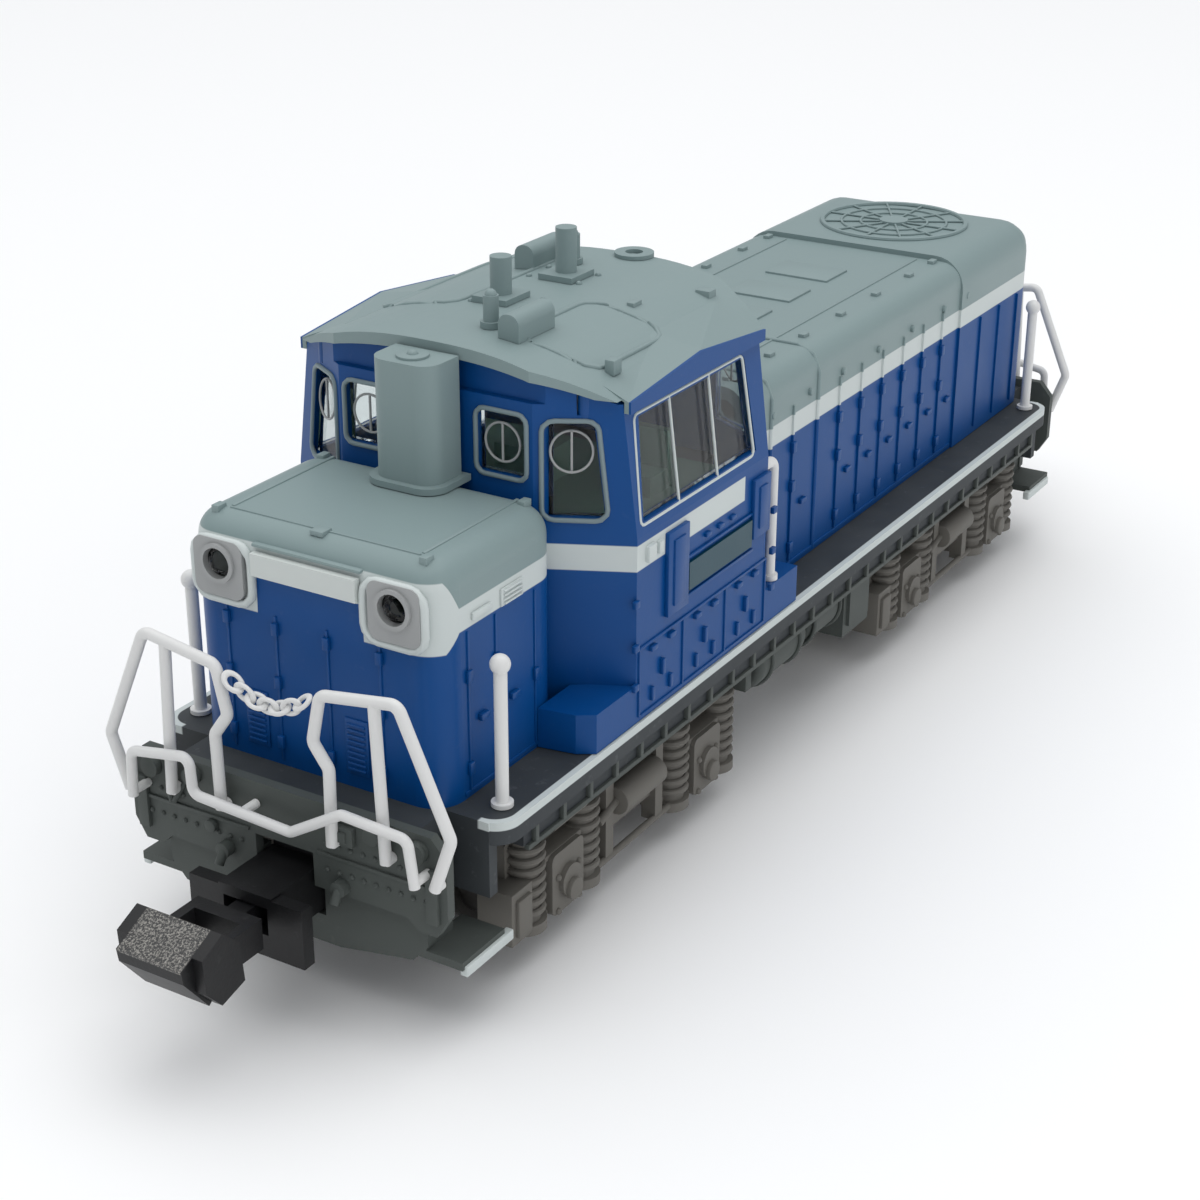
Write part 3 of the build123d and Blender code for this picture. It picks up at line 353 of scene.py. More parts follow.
def deck_paint():
    """Dark footplate with a thin white line round its top edge."""
    corner_x, corner_y = 30.9, 8.3
    f = Finish("deck_paint")
    far = f.calc("ABSOLUTE", f.x)
    out_x = f.calc("MAXIMUM", f.calc("SUBTRACT", far, corner_x), 0.0)
    out_y = f.calc("MAXIMUM", f.calc("SUBTRACT", f.side, corner_y), 0.0)
    squares = f.calc("ADD", f.calc("POWER", out_x, 2.0), f.calc("POWER", out_y, 2.0))
    spread = f.calc("SQRT", squares)
    edge = f.both(f.band(spread, 1.0, soft=0.04), f.band(f.side, 8.25, soft=0.1))
    line = f.both(edge, f.band(f.z, 9.2, soft=0.04))
    return f.skin(f.paint(line, DECK_GREY, WHITE), 0.62, 0.14)


def hook_metal():
    """Black hook whose upward sloped face carries a painted highlight: lighter grey with bright
    speckle.
    """
    slope_x, slope_top, fall = 42.1, 7.18, 0.475
    f = Finish("hook_black")
    grains = noise(f.tree, f.vector, 0.09, 3.0, 0.7)
    far = f.calc("ABSOLUTE", f.x)
    past = f.calc("SUBTRACT", far, slope_x)
    level = f.calc("ADD", f.z, f.calc("MULTIPLY", past, fall))
    upper = f.both(f.band(far, 42.0, soft=0.1), f.band(level, slope_top, soft=0.06))
    face = f.both(upper, f.band(f.side, -1.0, 1.7, 0.06))
    # Painted highlight: bright speckle and a lighter grey on the upward sloped face, where light
    # catches it
    painted_glint = f.calc("MULTIPLY", f.calc("SUBTRACT", grains, 0.47, True), 7.0, True)
    colour = f.paint(f.both(face, painted_glint), HOOK_BLACK, HOOK_PAINTED_GLINT)
    colour = f.paint(f.calc("MULTIPLY", face, 0.35), colour, HOOK_PAINTED_SHEEN)
    return f.skin(colour, 0.42, 0.05, bump=0.6)


def clear_glazing(name, tint):
    """Clear moulded glazing with faint ripples."""
    f = Finish(name)
    f.shader.inputs["Base Color"].default_value = tint
    f.shader.inputs["Transmission Weight"].default_value = 1.0
    f.shader.inputs["IOR"].default_value = 1.25
    f.shader.inputs["Roughness"].default_value = 0.04
    f.relief(noise(f.tree, f.vector, 1.4, 2.0), 0.15, RIPPLE_RELIEF)
    return f.mat


FINISH = {
    "short": short_bonnet_paint(),
    "long": long_bonnet_paint(),
    "cab": cab_paint(),
    "cab_roof": cab_roof_paint(),
    "deck_line": deck_paint(),
    "roof": plain("roof_grey", ROOF, 0.5, 0.10),
    "frame": plain("frame_grey", (0.075, 0.086, 0.080, 1), 0.60, 0.07),
    "bogie": plain("bogie_grey", (0.150, 0.142, 0.126, 1), 0.60, 0.08),
    "white": plain("rail_white", (0.74, 0.74, 0.73, 1), 0.35, 0.03),
    "line": plain("line_white", WHITE, 0.45, 0.03),
    "hook": hook_metal(),
    "black": plain("coupler_black", (0.008, 0.008, 0.009, 1), 0.40, 0.06, bump=0.5),
    "glass": clear_glazing("cab_glazing", (0.80, 0.84, 0.84, 1)),
    "lens": clear_glazing("lamp_lens", (0.9, 0.9, 0.9, 1)),
    "frame_trim": plain("window_trim", (0.20, 0.26, 0.28, 1), 0.40, 0.03),
    "blue": plain("moulded_blue", BLUE, 0.38, 0.03),
    "bezel": plain("bezel_grey", (0.36, 0.37, 0.37, 1), 0.35, 0.05),
    "dark": plain("lamp_dark", (0.010, 0.012, 0.012, 1), 0.25, 0.02),
    "die_cast": plain("die_cast_metal", (0.22, 0.22, 0.23, 1), 0.45, 0.05, 0.8),
    "steel": plain("bright_steel", (0.5, 0.5, 0.5, 1), 0.28, 0.03, 1.0),
    "wheel": plain("blackened_wheel", (0.10, 0.095, 0.09, 1), 0.40, 0.05, 0.9),
    "brass": plain("turned_brass", (0.66, 0.47, 0.18, 1), 0.30, 0.03, 1.0),
    "nylon": plain("gear_nylon", (0.68, 0.66, 0.58, 1), 0.40, 0.03),
    "board": plain("board_green", (0.012, 0.10, 0.05, 1), 0.35, 0.03),
    "inside": plain("cab_inside", (0.20, 0.33, 0.26, 1), 0.55, 0.05),
    "plate": plain("plate_teal", (0.002, 0.050, 0.075, 1), 0.30, 0.01),
    "number_board": plain("number_board_white", (0.62, 0.66, 0.64, 1), 0.45, 0.05),
    "copper": plain("wound_copper", (0.35, 0.14, 0.06, 1), 0.40, 0.03, 0.8),
}

CAD_FINISH = {
    "short": ["short_bonnet"],
    "long": ["long_bonnet"],
    "cab": ["cab_body"],
    "cab_roof": ["cab_roof"],
    "roof": ["exhaust_stack", "roof_pipes", "horns", "marker_boxes", "lifting_eye"],
    "deck_line": ["deck"],
    "frame": ["end_plates", "skirts", "air_reservoirs", "battery_boxes"],
    "bogie": ["side_frame_left_front", "side_frame_left_rear", "side_frame_right_front",
              "side_frame_right_rear", "gearbox_front", "gearbox_rear", "gearbox_cover_front",
              "gearbox_cover_rear"],
    "white": ["handrails_front", "handrails_rear", "uncoupling_levers", "corner_posts",
              "cab_handrails", "guard_chains"],
    "hook": ["coupler_hook_front", "coupler_hook_rear"],
    "black": ["coupler_boxes"],
    "glass": ["cab_glazing"],
    "lens": ["headlight_lenses", "light_guides"],
    "bezel": ["headlight_bezels"],
    "number_board": ["number_boards"],
    "plate": ["number_plates"],
    "die_cast": ["chassis_left", "chassis_right"],
    "steel": ["motor_can", "motor_shaft", "chassis_screws", "gear_pins_front", "gear_pins_rear"],
    "wheel": ["wheelset_front_inner", "wheelset_front_outer", "wheelset_rear_inner",
              "wheelset_rear_outer"],
    "brass": ["flywheels", "worms"],
    "copper": ["motor_armature"],
    "nylon": ["centre_gear_front", "centre_gear_rear", "idler_gear_front_inner",
              "idler_gear_front_outer", "idler_gear_rear_inner", "idler_gear_rear_outer",
              "motor_end_caps"],
    "board": ["light_boards"],
    "inside": ["cab_interior"],
}


def finish_cad():
    """Gives every frame node its finish."""
    for key, names in CAD_FINISH.items():
        for name in names:
            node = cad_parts[name]
            if not node.material_slots:
                node.data.materials.append(FINISH[key])
            for slot in node.material_slots:
                slot.material = FINISH[key]


# ---- Modelling helpers ----------------------------------------------------------------------
NEARLY_STRAIGHT = 3.0   # radians between a corner's two sides, past which it isn't rounded
CORNER_STEPS = 3


def clear_selection():
    """Nothing selected, object mode."""
    if bpy.context.object and bpy.context.object.mode != "OBJECT":
        bpy.ops.object.mode_set(mode="OBJECT")
    bpy.ops.object.select_all(action="DESELECT")


def add_box(x0, x1, y0, y1, z0, z1):
    """A box into the piece being edited, in millimetres."""
    place = ((x0 + x1) / 2 * MM, (y0 + y1) / 2 * MM, (z0 + z1) / 2 * MM)
    size = (abs(x1 - x0) * MM, abs(y1 - y0) * MM, abs(z1 - z0) * MM)
    bpy.ops.mesh.primitive_cube_add(size=1, location=place, scale=size)


def add_rod(start, end, radius, sides=16, tip=None):
    """A rod or cone between two points into the piece being edited."""
    a, b = Vector(start) * MM, Vector(end) * MM
    turn = (b - a).to_track_quat("Z", "Y").to_euler()
    bpy.ops.mesh.primitive_cone_add(vertices=sides, radius1=radius * MM,
                                    radius2=(radius if tip is None else tip) * MM,
                                    depth=(b - a).length, location=(a + b) / 2, rotation=turn)


def add_ball(centre, radius):
    """A ball, such as a rivet head half sunk, into the piece being edited."""
    bpy.ops.mesh.primitive_uv_sphere_add(segments=14, ring_count=8, radius=radius * MM,
                                         location=Vector(centre) * MM)


def add_ring(centre, normal, radius, thick, sides=28):
    """A torus into the piece being edited."""
    turn = Vector(normal).to_track_quat("Z", "Y").to_euler()
    bpy.ops.mesh.primitive_torus_add(major_segments=sides, minor_segments=8, rotation=turn,
                                     location=Vector(centre) * MM, major_radius=radius * MM,
                                     minor_radius=thick * MM)


def rounded(corners, radius):
    """A closed outline's points with its corners rounded."""
    points = []
    count = len(corners)
    for k, corner in enumerate(corners):
        here = Vector(corner)
        before = (Vector(corners[k - 1]) - here).normalized()
        after = (Vector(corners[(k + 1) % count]) - here).normalized()
        bend = before.angle(after)
        if bend > NEARLY_STRAIGHT:
            points.append(tuple(here))
            continue
        reach = radius / math.tan(bend / 2)
        centre = here + (before + after).normalized() * (radius / math.sin(bend / 2))
        first = here + before * reach - centre
        last = here + after * reach - centre
        for step in range(CORNER_STEPS + 1):
            spoke = first.lerp(last, step / CORNER_STEPS).normalized() * radius
            points.append(tuple(centre + spoke))
    return points


def dense(corners, cuts):
    """A closed outline with extra points along its straight sides."""
    points = []
    for k, corner in enumerate(corners):
        after = Vector(corners[(k + 1) % len(corners)])
        for step in range(cuts):
            points.append(tuple(Vector(corner).lerp(after, step / cuts)))
    return points


SHAPES = {"box": add_box, "rod": add_rod, "ball": add_ball, "ring": add_ring}


def apply_bevel(made, width, segments, angle):
    """Rounds the edges that turn by more than an angle in degrees."""
    rounding = made.modifiers.new("rounding", "BEVEL")
    rounding.width = width * MM
    rounding.segments = segments
    rounding.limit_method = "ANGLE"
    rounding.angle_limit = math.radians(angle)
    bpy.ops.object.modifier_apply(modifier=rounding.name)


def apply_wall(made, thickness):
    """Gives an open surface its thickness."""
    wall = made.modifiers.new("wall", "SOLIDIFY")
    wall.thickness = thickness * MM
    bpy.ops.object.modifier_apply(modifier=wall.name)


def smooth(angle):
    """Smooth shading on the active piece, with edges sharper than an angle kept."""
    bpy.ops.object.shade_smooth_by_angle(angle=math.radians(angle))


def select_where(made, kind, test):
    """Edit mode, with only the vertices or polygons that pass a test selected."""
    bpy.ops.object.mode_set(mode="EDIT")
    bpy.ops.mesh.select_all(action="DESELECT")
    bpy.ops.object.mode_set(mode="OBJECT")
    for item in getattr(made.data, kind):
        item.select = test(item)
    bpy.ops.object.mode_set(mode="EDIT")


def settle(made, body, finish):
    """A piece's material, body and slot."""
    made.data.materials.clear()
    made.data.materials.append(FINISH[finish])
    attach(made, body)


def piece(name, body, finish, shapes, bevel=0.0):
    """One piece made of simple shapes, bevelled, on a body; shapes are (kind, arguments...)."""
    clear_selection()
    bpy.ops.mesh.primitive_cube_add(size=MM)
    made = bpy.context.object
    made.name = name
    bpy.ops.object.mode_set(mode="EDIT")
    bpy.ops.mesh.delete(type="VERT")
    for kind, *values in shapes:
        SHAPES[kind](*values)
    bpy.ops.object.mode_set(mode="OBJECT")
    if bevel:
        apply_bevel(made, bevel, 2, 50)
    smooth(40)
    settle(made, body, finish)


def wire(name, body, finish, lines, radius, closed=False):
    """Bent round wire through points, one run per line, as one mesh piece."""
    clear_selection()
    curve = bpy.data.curves.new(name, "CURVE")
    curve.dimensions = "3D"
    curve.bevel_depth = radius * MM
    curve.bevel_resolution = 2
    for points in lines:
        run = curve.splines.new("POLY")
        run.points.add(len(points) - 1)
        run.use_cyclic_u = closed
        for spot, point in zip(run.points, points):
            spot.co = (*(Vector(point) * MM), 1)
    made = bpy.data.objects.new(name, curve)
    bpy.context.collection.objects.link(made)
    bpy.context.view_layer.objects.active = made
    made.select_set(True)
    bpy.ops.object.convert(target="MESH")
    smooth(50)
    settle(bpy.context.object, body, finish)


# ---- Short bonnet ---------------------------------------------------------------------------
SB_X, SB_Y, SB_TOP = (high("short_bonnet", axis) for axis in range(3))
LB_X, LB_Y, LB_TOP = low("long_bonnet", 0), high("long_bonnet", 1), high("long_bonnet", 2)
CAB_X0, CAB_X1, CAB_Y = 6.25, 23.1, 9.5         # cab ends and side, without its step boxes
CAB_MIDDLE = (CAB_X0 + CAB_X1) / 2
BELT, EAVE, CROWN = 18.9, 25.1, high("cab_roof", 2)
ENDS = SIDES = (-1, 1)


def short_bonnet_details():
    """Door seams, hinges, louvres, latches, roof lip and lugs of the short bonnet."""
    end_doors, foot = (-4.6, -1.9, 0.9, 3.7), DECK + 0.3
    seams = []
    for y in end_doors:
        seams.append(("box", SB_X - 0.05, SB_X + 0.07, y - 0.06, y + 0.06, foot, 16.9))
    for side in SIDES:
        inner, outer = side * (SB_Y - 0.05), side * (SB_Y + 0.07)
        for x in (30.6, 28.5, 25.4):
            seams.append(("box", x - 0.06, x + 0.06, inner, outer, foot, 17.5))
        outer = side * (SB_Y + 0.05)
        seams.append(("box", 24.9, 31.0, inner, outer, DECK + 0.15, DECK + 0.35))
    piece("short_bonnet_seams", "chassis", "blue", seams, 0.02)
    small = []
    for y in end_doors:
        for z in (10.8, 13.7, 16.3):
            small.append(("box", SB_X, SB_X + 0.2, y - 0.16, y + 0.16, z - 0.3, z + 0.3))
            small.append(("box", LB_X - 0.35, LB_X - 0.1, y - 0.16, y + 0.16, z - 0.3, z + 0.3))
    for y in (-3.2, 2.3):
        small.append(("box", SB_X, SB_X + 0.08, y - 0.62, y + 0.62, 10.3, 13.0))
        for k in range(9):
            z = 10.5 + 0.27 * k
            small.append(("box", SB_X, SB_X + 0.17, y - 0.48, y + 0.48, z, z + 0.13))
    for side in SIDES:
        y = side * SB_Y
        for x, z in ((30.6, 11.0), (30.6, 15.4), (28.5, 11.0), (28.5, 15.4), (25.4, 13.4)):
            small.append(("box", x - 0.17, x + 0.17, y, y + side * 0.17, z - 0.3, z + 0.3))
        small.append(("box", 26.9, 27.5, y, y + side * 0.22, 13.0, 13.3))
        small.append(("box", 29.3, 29.9, y, y + side * 0.22, 13.0, 13.3))
    piece("short_bonnet_hinges", "chassis", "blue", small, 0.03)
    vents = []
    for side in SIDES:
        y = side * SB_Y
        vents.append(("box", 26.4, 28.1, y, y + side * 0.1, 17.68, 18.5))
        for k in range(4):
            vents.append(("box", 26.55, 27.95, y, y + side * 0.2, 17.75 + 0.2 * k, 17.84 + 0.2 * k))
        vents.append(("box", 28.9, 30.3, y, y + side * 0.14, 17.9, 18.25))
    vents.append(("box", SB_X, SB_X + 0.16, -2.75, 2.75, 18.62, 18.74))
    piece("short_bonnet_vents", "chassis", "line", vents, 0.03)
    outline = rounded([(3.0, 17.1), (6.15, 17.1), (6.15, 19.9), (3.0, 19.9)], 0.75)
    rims, wells = [], []
    for end, face in ((-1, 0.15 - LB_X), (1, 32.6)):
        for side in SIDES:
            rims.append([(end * (face + 0.1), side * y, z) for y, z in outline])
            centre = (end * (face + 0.12), side * 4.7, 18.9)
            wells.append(("ring", centre, (1, 0, 0), 0.95, 0.13))
    wire("lamp_rims", "chassis", "line", rims, 0.2, True)
    piece("lamp_rings", "chassis", "bezel", wells)
    roof = []
    rib_low, rib_high = SB_TOP - 0.15, SB_TOP + 0.06
    for side in SIDES:
        for x in (31.6, 24.2):
            inner, outer = side * 5.35, side * 5.75
            roof.append(("box", x - 0.3, x + 0.3, inner, outer, SB_TOP - 0.2, SB_TOP + 0.16))
        roof.append(("box", 24.0, 31.2, side * 5.0, side * 5.2, rib_low, rib_high))
    roof.append(("box", 31.2, 31.9, -0.35, 0.35, SB_TOP - 0.1, SB_TOP + 0.14))
    roof.append(("box", 31.3, 31.42, -5.1, 5.1, rib_low, rib_high))
    roof.append(("box", SB_X - 0.2, SB_X + 0.14, -2.9, 2.9, 20.0, 20.16))
    piece("short_bonnet_roof_ribs", "chassis", "roof", roof, 0.05)


# ---- Long bonnet ----------------------------------------------------------------------------
TAIL_X, TAIL_LENGTH, TAIL_RISE = -27.15, 11.9, 0.35
TAIL_ROUND, TAIL_WALL = 1.9, 0.3
FAN_X, FAN_SPOKES = -27.2, 12


def long_bonnet_tail():
    """The raised shell round the tail of the long bonnet, open below and ahead."""
    clear_selection()
    top, foot = LB_TOP + TAIL_RISE, DECK + 0.1
    bpy.ops.mesh.primitive_cube_add(
        size=1, location=(TAIL_X * MM, 0, (DECK + top) / 2 * MM),
        scale=(TAIL_LENGTH * MM, (2 * LB_Y + 0.3) * MM, (top - foot) * MM))
    tail = bpy.context.object
    tail.name = "long_bonnet_tail"
    bpy.ops.object.transform_apply(location=True, rotation=True, scale=True)
    select_where(tail, "polygons", lambda face: face.normal.x > 0.5 or face.normal.z < -0.5)
    bpy.ops.mesh.delete(type="FACE")
    bpy.ops.object.mode_set(mode="OBJECT")
    apply_bevel(tail, TAIL_ROUND, 8, 30)
    apply_wall(tail, TAIL_WALL)
    smooth(40)
    settle(tail, "chassis", "long")


def long_bonnet_details():
    """Tail shell, seam ribs, doors, latches, lugs and the fan grille."""
    long_bonnet_tail()
    ribs = []
    for x in (-1.9, 3.6):
        path = [(LB_Y + 0.02, DECK + 0.2), (LB_Y + 0.02, LB_TOP - 1.3),
                (LB_Y - 0.38, LB_TOP - 0.38), (LB_Y - 1.3, LB_TOP + 0.02)]
        ribs.append([(x, y, z) for y, z in path] + [(x, -y, z) for y, z in reversed(path)])
    wire("long_bonnet_seam_ribs", "chassis", "long", ribs, 0.14)
    doors, latches = [], []
    for side in SIDES:
        y = side * LB_Y
        inner, outer = y - side * 0.05, y + side * 0.12
        for x in (1.0, -4.6, -7.4, -10.2, -13.0, -15.8, -18.6):
            doors.append(("box", x - 0.07, x + 0.07, inner, outer, DECK + 0.5, 18.9))
            for z in (10.9, 14.4, 16.6):
                latches.append(("box", x - 0.2, x + 0.2, y, y + side * 0.24, z - 0.3, z + 0.3))
        for x in (-0.4, -6.0, -8.8, -11.6, -14.4, -17.2, -20.0):
            latches.append(("box", x - 0.32, x + 0.32, y, y + side * 0.2, 13.0, 13.28))
        doors.append(("box", -21.0, 6.0, inner, y + side * 0.08, DECK + 0.2, DECK + 0.42))
        inner, outer = y + side * 0.1, y + side * 0.27
        for x in (-24.4, -27.4, -30.4):
            doors.append(("box", x - 0.07, x + 0.07, inner, outer, DECK + 0.5, 17.2))
    piece("long_bonnet_doors", "chassis", "long", doors, 0.02)
    piece("long_bonnet_latches", "chassis", "blue", latches, 0.04)
    lugs = []
    for side in SIDES:
        inner, outer = side * (LB_Y - 0.03), side * (LB_Y + 0.2)
        for x in (5.0, 0.6, -3.4, -8.0, -12.6, -17.2, -20.6):
            lugs.append(("box", x - 0.32, x + 0.32, side * 5.3, side * 5.7,
                         LB_TOP - 0.3, LB_TOP + 0.2))
            lugs.append(("rod", (x - 1.5, inner, 19.1), (x - 1.5, outer, 19.1), 0.2))
        lugs.append(("box", -20.8, 5.8, side * 4.3, side * 4.45, LB_TOP - 0.1, LB_TOP + 0.07))
    for x in (-5.2, -10.0, -14.8):
        lugs.append(("box", x - 1.4, x + 1.4, -2.0, 2.0, LB_TOP - 0.1, LB_TOP + 0.12))
    piece("long_bonnet_lugs", "chassis", "roof", lugs, 0.05)
    top = LB_TOP + TAIL_RISE
    fan = [("ring", (FAN_X, 0, top), (0, 0, 1), radius, thick, sides)
           for radius, thick, sides in ((4.5, 0.16, 48), (3.3, 0.08, 40), (2.1, 0.08, 32))]
    fan.append(("rod", (FAN_X, 0, top - 0.1), (FAN_X, 0, top + 0.14), 0.9))
    for k in range(FAN_SPOKES):
        turn = math.tau * k / FAN_SPOKES
        along, across = math.cos(turn), math.sin(turn)
        fan.append(("rod", (FAN_X + 0.8 * along, 0.8 * across, top + 0.02),
                    (FAN_X + 4.4 * along, 4.4 * across, top + 0.02), 0.07, 8))
    piece("fan_grille", "chassis", "roof", fan)


# ---- Cab ------------------------------------------------------------------------------------
def cab_side_y(z):
    """How far out the cab side is at a height."""
    return CAB_Y - max(0.0, z - BELT) * 0.8 / (EAVE - BELT)


def cab_end_x(y, z):
    """How far ahead the cab's swept end is, from its middle, at a place across and a height."""
    half = cab_side_y(z)
    return CAB_X1 - 2.05 * max(0.0, abs(y) - 5.3) / (half - 5.3)


def cab_end_windows():
    """Frames and round screens of the windows in both cab ends."""
    flat = rounded([(2.3, 21.4), (5.0, 21.4), (5.0, 24.5), (2.3, 24.5)], 0.45)
    swept = rounded([(5.65, 19.7), (8.35, 19.7), (7.8, 24.35), (5.65, 24.35)], 0.5)
    trims, rings = [], []
    for end in ENDS:
        def face(y, z, out):
            return CAB_MIDDLE + end * (cab_end_x(y, z) - CAB_MIDDLE + out)

        for side in SIDES:
            for outline in (flat, swept):
                trims.append([(face(y, z, 0.03), side * y, z) for y, z in outline])
            for y, z, r, normal in ((3.65, 23.0, 0.92, (end, 0, 0)),
                                    (6.75, 22.9, 0.95, (end * 0.85, side * 0.5, 0.1))):
                x = face(y, z, -0.12)
                rings.append(("ring", (x, side * y, z), normal, r, 0.06))
                rings.append(("rod", (x, side * y, z - r), (x, side * y, z + r), 0.06, 8))
    wire("cab_window_frames", "chassis", "frame_trim", trims, 0.12, True)
    piece("round_screens", "chassis", "bezel", rings)


def cab_side_windows():
    """Border and two posts of each side window."""
    borders, posts = [], []
    for side in SIDES:
        outline = rounded([(9.75, 19.35), (20.65, 19.35), (20.3, 24.4), (10.1, 24.4)], 0.3)
        borders.append([(x, side * (cab_side_y(z) - 0.02), z) for x, z in outline])
        for x in (17.1, 13.4):
            posts.append([(x, side * (cab_side_y(z) - 0.05), z) for z in (19.4, 24.4)])
    wire("side_window_frames", "chassis", "line", borders, 0.08, True)
    wire("side_window_posts", "chassis", "line", posts, 0.08)


def cab_side_fittings():
    """Locker doors, hinges, latches, pockets and band boxes of both cab sides."""
    panel, white = [], []
    for side in SIDES:
        y = side * CAB_Y

        def on(x0, x1, z0, z1, out, target=panel):
            target.append(("box", x0, x1, y - side * 0.05, y + side * out, z0, z1))

        for x in (20.8, 16.7, 12.5, 8.3):
            on(x - 0.06, x + 0.06, 9.9, 13.4, 0.09)
        on(8.3, 20.8, 13.3, 13.45, 0.09)
        on(8.3, 20.8, 9.85, 9.97, 0.09)
        for x in (19.6, 17.9, 15.4, 13.7, 11.2, 9.5):
            on(x - 0.28, x + 0.28, 12.9, 13.15, 0.2)
            on(x - 0.12, x + 0.12, 10.3, 11.0, 0.16)
        for x in (18.7, 14.6, 10.4):
            on(x - 0.13, x + 0.13, 11.3, 12.1, 0.2)
        for x0, x1, z0, z1 in ((16.55, 18.5, 14.1, 18.3), (8.3, 10.0, 15.0, 18.1)):
            on(x0, x1, z0, z1, 0.22)
            on(x0 + 0.45, x1 - 0.45, z0 + 0.45, z1 - 0.45, 0.32)
        on(9.8, 16.7, 14.35, 14.5, 0.12)
        on(9.8, 16.7, 16.3, 16.45, 0.12)
        for x in (7.6, 21.2):
            for z in (11.4, 13.4, 15.6):
                on(x - 0.2, x + 0.2, z, z + 0.35, 0.18)
        for x in (12.0, 13.25, 14.5):
            on(x - 0.25, x + 0.25, 16.8, 17.0, 0.16)
        on(19.6, 20.3, 17.5, 18.3, 0.22, white)
        on(18.9, 19.3, 17.6, 18.2, 0.2, white)
    piece("cab_side_doors", "chassis", "blue", panel, 0.04)
    piece("cab_band_boxes", "chassis", "line", white, 0.05)


def on_roof(x, y, up=0.0):
    """A place on the cab roof, from its place along and across."""
    return (x, y, EAVE + (CROWN - EAVE) * (1 - abs(y / 8.95) ** 2.6) + up)


def cab_top_fittings():
    """Hatch ridges and bumps of the roof, corner fillers below it, and the stack's cap."""
    ridges = []
    for corners in ([(14.0, 2.6), (20.6, 2.6), (20.6, 6.9), (14.0, 6.9)],
                    [(8.2, -6.9), (18.0, -6.9), (18.0, -2.4), (8.2, -2.4)]):
        ridges.append([on_roof(x, y, -0.01) for x, y in rounded(dense(corners, 5), 1.0)])
    wire("roof_hatch_ridges", "chassis", "roof", ridges, 0.13, True)
    bumps = [("box", 19.3, 20.0, 7.1, 7.6, 25.9, 26.6), ("box", 8.0, 8.7, 5.4, 6.2, 26.0, 26.75)]
    for x in (15.4, 17.2, 12.2, 10.4):
        bumps.append(("ball", on_roof(x, 0.95), 0.16))
        bumps.append(("ball", on_roof(x, -1.9), 0.16))
    bumps.append(("box", 12.4, 13.2, 4.2, 4.6, 26.6, 27.05))
    piece("roof_bumps", "chassis", "roof", bumps, 0.05)
    corners = []
    for end in ENDS:
        for side in SIDES:
            x, y = CAB_MIDDLE + end * (21.64 - CAB_MIDDLE), side * 7.12
            corners.append(("rod", (x, y, 24.4), (x, y, 25.7), 0.36, 20))
    piece("gable_corners", "chassis", "blue", corners)
    x, stack = 24.55, high("exhaust_stack", 2)
    cap = [("rod", (x, 0, stack - 0.1), (x, 0, stack + 0.12), 0.75, 28),
           ("ball", (x, 0, stack), 0.3)]
    piece("stack_cap", "chassis", "roof", cap, 0.04)


SHOULDER_X, SHOULDER_Y, SHOULDER_Z = 14.675, 7.7, 26.32
SHOULDER_LENGTH, SHOULDER_WIDTH, SHOULDER_WALL = 12.75, 2.6, 0.12
PEAK_DROP, CORNER_DROP = 0.44, 1.08


def roof_shoulders():
    """Panels that carry the cab roof out to the peaked top of each side fascia."""
    for side, name in ((1, "left"), (-1, "right")):
        clear_selection()
        bpy.ops.mesh.primitive_grid_add(
            x_subdivisions=2, y_subdivisions=1, size=MM,
            location=(SHOULDER_X * MM, side * SHOULDER_Y * MM, SHOULDER_Z * MM))
        panel = bpy.context.object
        panel.name = "roof_shoulder_" + name
        bpy.ops.transform.resize(value=(SHOULDER_LENGTH, SHOULDER_WIDTH, 1))
        bpy.ops.object.transform_apply(location=True, rotation=True, scale=True)
        for peak, drop in ((True, PEAK_DROP), (False, CORNER_DROP)):
            select_where(panel, "vertices", lambda vertex: (
                abs(vertex.co.y) > SHOULDER_Y * MM
                and (abs(vertex.co.x - SHOULDER_X * MM) < MM) == peak))
            bpy.ops.transform.translate(value=(0, 0, -drop * MM))
            bpy.ops.object.mode_set(mode="OBJECT")
        apply_wall(panel, SHOULDER_WALL)
        settle(panel, "chassis", "roof")


# ---- Footplate and ends ---------------------------------------------------------------------
PLATE_X = 35.2          # outer face of the end plates
RIB_COUNT, RIB_PITCH = 27, 2.27


def turned_end_for_end(shapes):
    """The same shapes at the other end of the locomotive."""
    turned = []
    for kind, *values in shapes:
        if kind == "box":
            x0, x1, y0, y1, z0, z1 = values
            turned.append(("box", -x0, -x1, -y0, -y1, z0, z1))
        else:
            places = [(-v[0], -v[1], v[2]) if isinstance(v, tuple) else v for v in values]
            turned.append((kind, *places))
    return turned


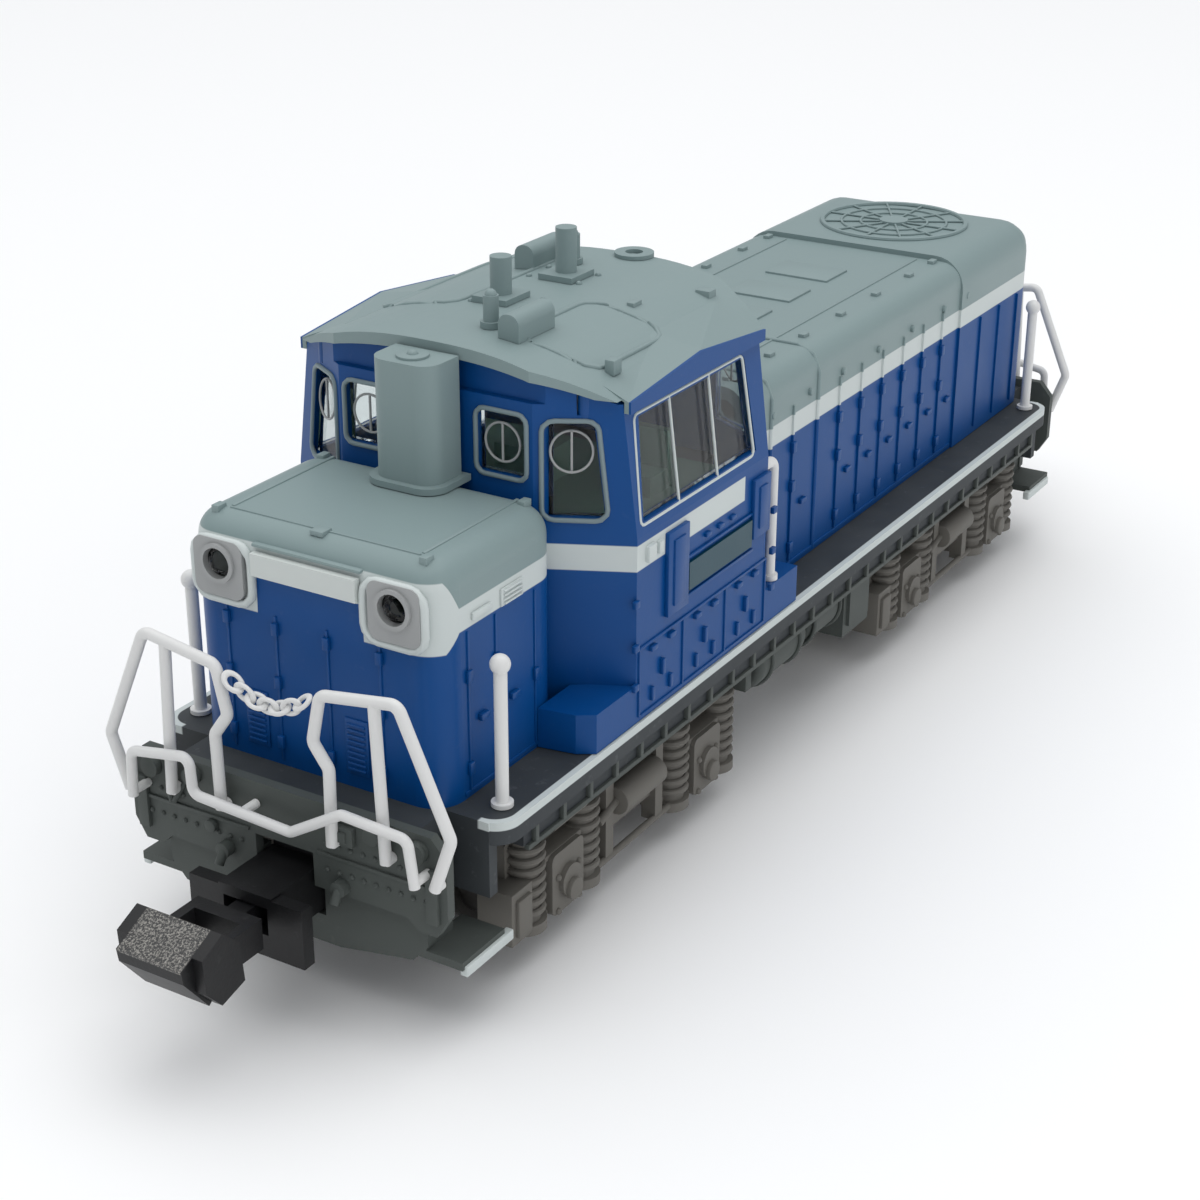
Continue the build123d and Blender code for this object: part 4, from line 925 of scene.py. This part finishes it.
def end_plate_fittings():
    """Bosses, rivets and brackets of both end plates."""
    x = PLATE_X
    face = []
    for side in SIDES:
        face += [("rod", (x - 0.1, side * 7.3, 9.3), (x + 0.4, side * 7.3, 9.3), 0.5, 20),
                 ("rod", (x - 0.1, side * 5.0, 9.4), (x + 0.35, side * 5.0, 9.4), 0.42, 20),
                 ("rod", (x - 0.1, side * 3.2, 6.3), (x + 0.5, side * 3.2, 6.3), 0.38, 16),
                 ("rod", (x + 0.3, side * 3.2, 6.3), (x + 0.75, side * 3.2, 5.7), 0.22, 12),
                 ("box", x - 0.05, x + 0.12, side * 1.9, side * 8.2, 7.55, 7.72),
                 ("box", x - 0.05, x + 0.22, side * 7.7, side * 8.3, 6.0, 8.6)]
        for k in range(9):
            face.append(("ball", (x + 0.02, side * (2.4 + 0.65 * k), 8.2), 0.12))
            face.append(("ball", (x + 0.02, side * (2.4 + 0.65 * k), 6.9), 0.12))
    face += [("rod", (x - 0.05, -6.6, 8.9), (x + 0.3, -6.1, 7.9), 0.14, 10),
             ("rod", (x - 0.05, -5.5, 8.9), (x + 0.3, -6.0, 7.9), 0.14, 10),
             ("box", x, x + 0.3, 2.6, 4.0, 8.5, 9.4), ("box", x, x + 0.42, 2.9, 3.7, 8.7, 9.2),
             ("rod", (x, -4.0, 7.2), (x + 0.3, -4.0, 7.2), 0.3, 16)]
    piece("end_plate_fittings", "chassis", "frame",
          face + turned_end_for_end(face), 0.03)


def footplate_details():
    """Ribs under the footplate's edge, and the white edges of the end steps."""
    ribs = []
    for side in SIDES:
        for k in range(RIB_COUNT):
            rib = -29.6 + RIB_PITCH * k
            ribs.append(("box", rib - 0.13, rib + 0.13, side * 9.2, side * 9.5, 7.6, 8.6))
        ribs.append(("box", -30.0, 30.0, side * 9.15, side * 9.42, 7.35, 7.6))
    piece("footplate_ribs", "chassis", "frame", ribs, 0.03)
    wings = []
    for end in ENDS:
        for side in SIDES:
            wings.append(("box", end * 30.9, end * 34.5, side * 8.75, side * 9.15, 3.25, 3.75))
    piece("step_edges", "chassis", "line", wings, 0.05)


# ---- Bogies ---------------------------------------------------------------------------------
PIVOTS = (("bogie_front", 18.6), ("bogie_rear", -20.2))
AXLE_REACH, COIL_REACH, COIL_TURNS, COIL_PITCH = 6.67, 2.35, 7, 0.55


def bogie_coils(body, cx):
    """Coil springs each side of every axle box."""
    coils = []
    for side in SIDES:
        for axle in (-AXLE_REACH, AXLE_REACH):
            for off in (-COIL_REACH, COIL_REACH):
                for k in range(COIL_TURNS):
                    centre = (cx + axle + off, side * 7.55, 2.7 + COIL_PITCH * k)
                    coils.append(("ring", centre, (0, 0, 1), 0.86, 0.17, 20))
    piece(body + "_coils", body, "bogie", coils)


def bogie_fittings(body, cx):
    """Axle-box caps and bolts, brake cylinder, pull rods, sand box and pipe of a bogie."""
    bits = []
    for side in SIDES:
        def rod(x0, z0, x1, z1, y, radius, sides=12):
            bits.append(("rod", (cx + x0, side * y, z0), (cx + x1, side * y, z1), radius, sides))

        for axle in (-AXLE_REACH, AXLE_REACH):
            x = cx + axle
            bits.append(("rod", (x, side * 8.6, 2.8), (x, side * 8.95, 2.8), 0.55, 20))
            for u in (-0.9, 0.9):
                for v in (-0.9, 0.9):
                    bits.append(("ball", (x + u, side * 8.47, 2.8 + v), 0.17))
            bits.append(("box", x - 1.6, x + 1.6, side * 7.2, side * 8.2, 4.7, 5.0))
        rod(-1.9, 4.9, 1.9, 4.9, 8.1, 0.75, 20)
        rod(1.8, 4.9, 3.4, 4.4, 8.1, 0.22)
        rod(-9.6, 2.0, 9.6, 2.0, 8.0, 0.18, 10)
        bits.append(("box", cx + 9.6, cx + 11.3, side * 6.5, side * 8.4, 1.9, 4.6))
        bits.append(("box", cx + 9.9, cx + 11.0, side * 8.3, side * 8.6, 2.3, 4.2))
        rod(-10.0, 5.4, -10.0, 2.6, 7.6, 0.35)
        for u in (-8.0, -3.4, 3.4, 8.0):
            x = cx + u
            bits.append(("rod", (x, side * 7.3, 5.8), (x, side * 7.75, 5.8), 0.26, 12))
    piece(body + "_fittings", body, "bogie", bits, 0.06)


def tank_bands():
    """Straps, pipe and bracket of the air reservoirs under the middle."""
    under = []
    for side in SIDES:
        for x, r in ((3.9, 1.8), (-1.4, 1.65)):
            for u in (-1.6, 1.6):
                under.append(("ring", (x + u, side * 7.0, 6.3), (1, 0, 0), r, 0.12, 36))
        under.append(("rod", (-3.5, side * 7.0, 5.2), (7.2, side * 7.0, 5.2), 0.2, 10))
        under.append(("box", 6.9, 7.55, side * 6.2, side * 8.3, 5.2, 8.4))
    piece("tank_bands", "chassis", "frame", under, 0.05)


def assemble():
    """Every piece in turn."""
    short_bonnet_details()
    long_bonnet_details()
    cab_end_windows()
    cab_side_windows()
    cab_side_fittings()
    cab_top_fittings()
    roof_shoulders()
    end_plate_fittings()
    footplate_details()
    for body, cx in PIVOTS:
        bogie_coils(body, cx)
        bogie_fittings(body, cx)
    tank_bands()


make_camera()
make_studio()
finish_cad()
assemble()
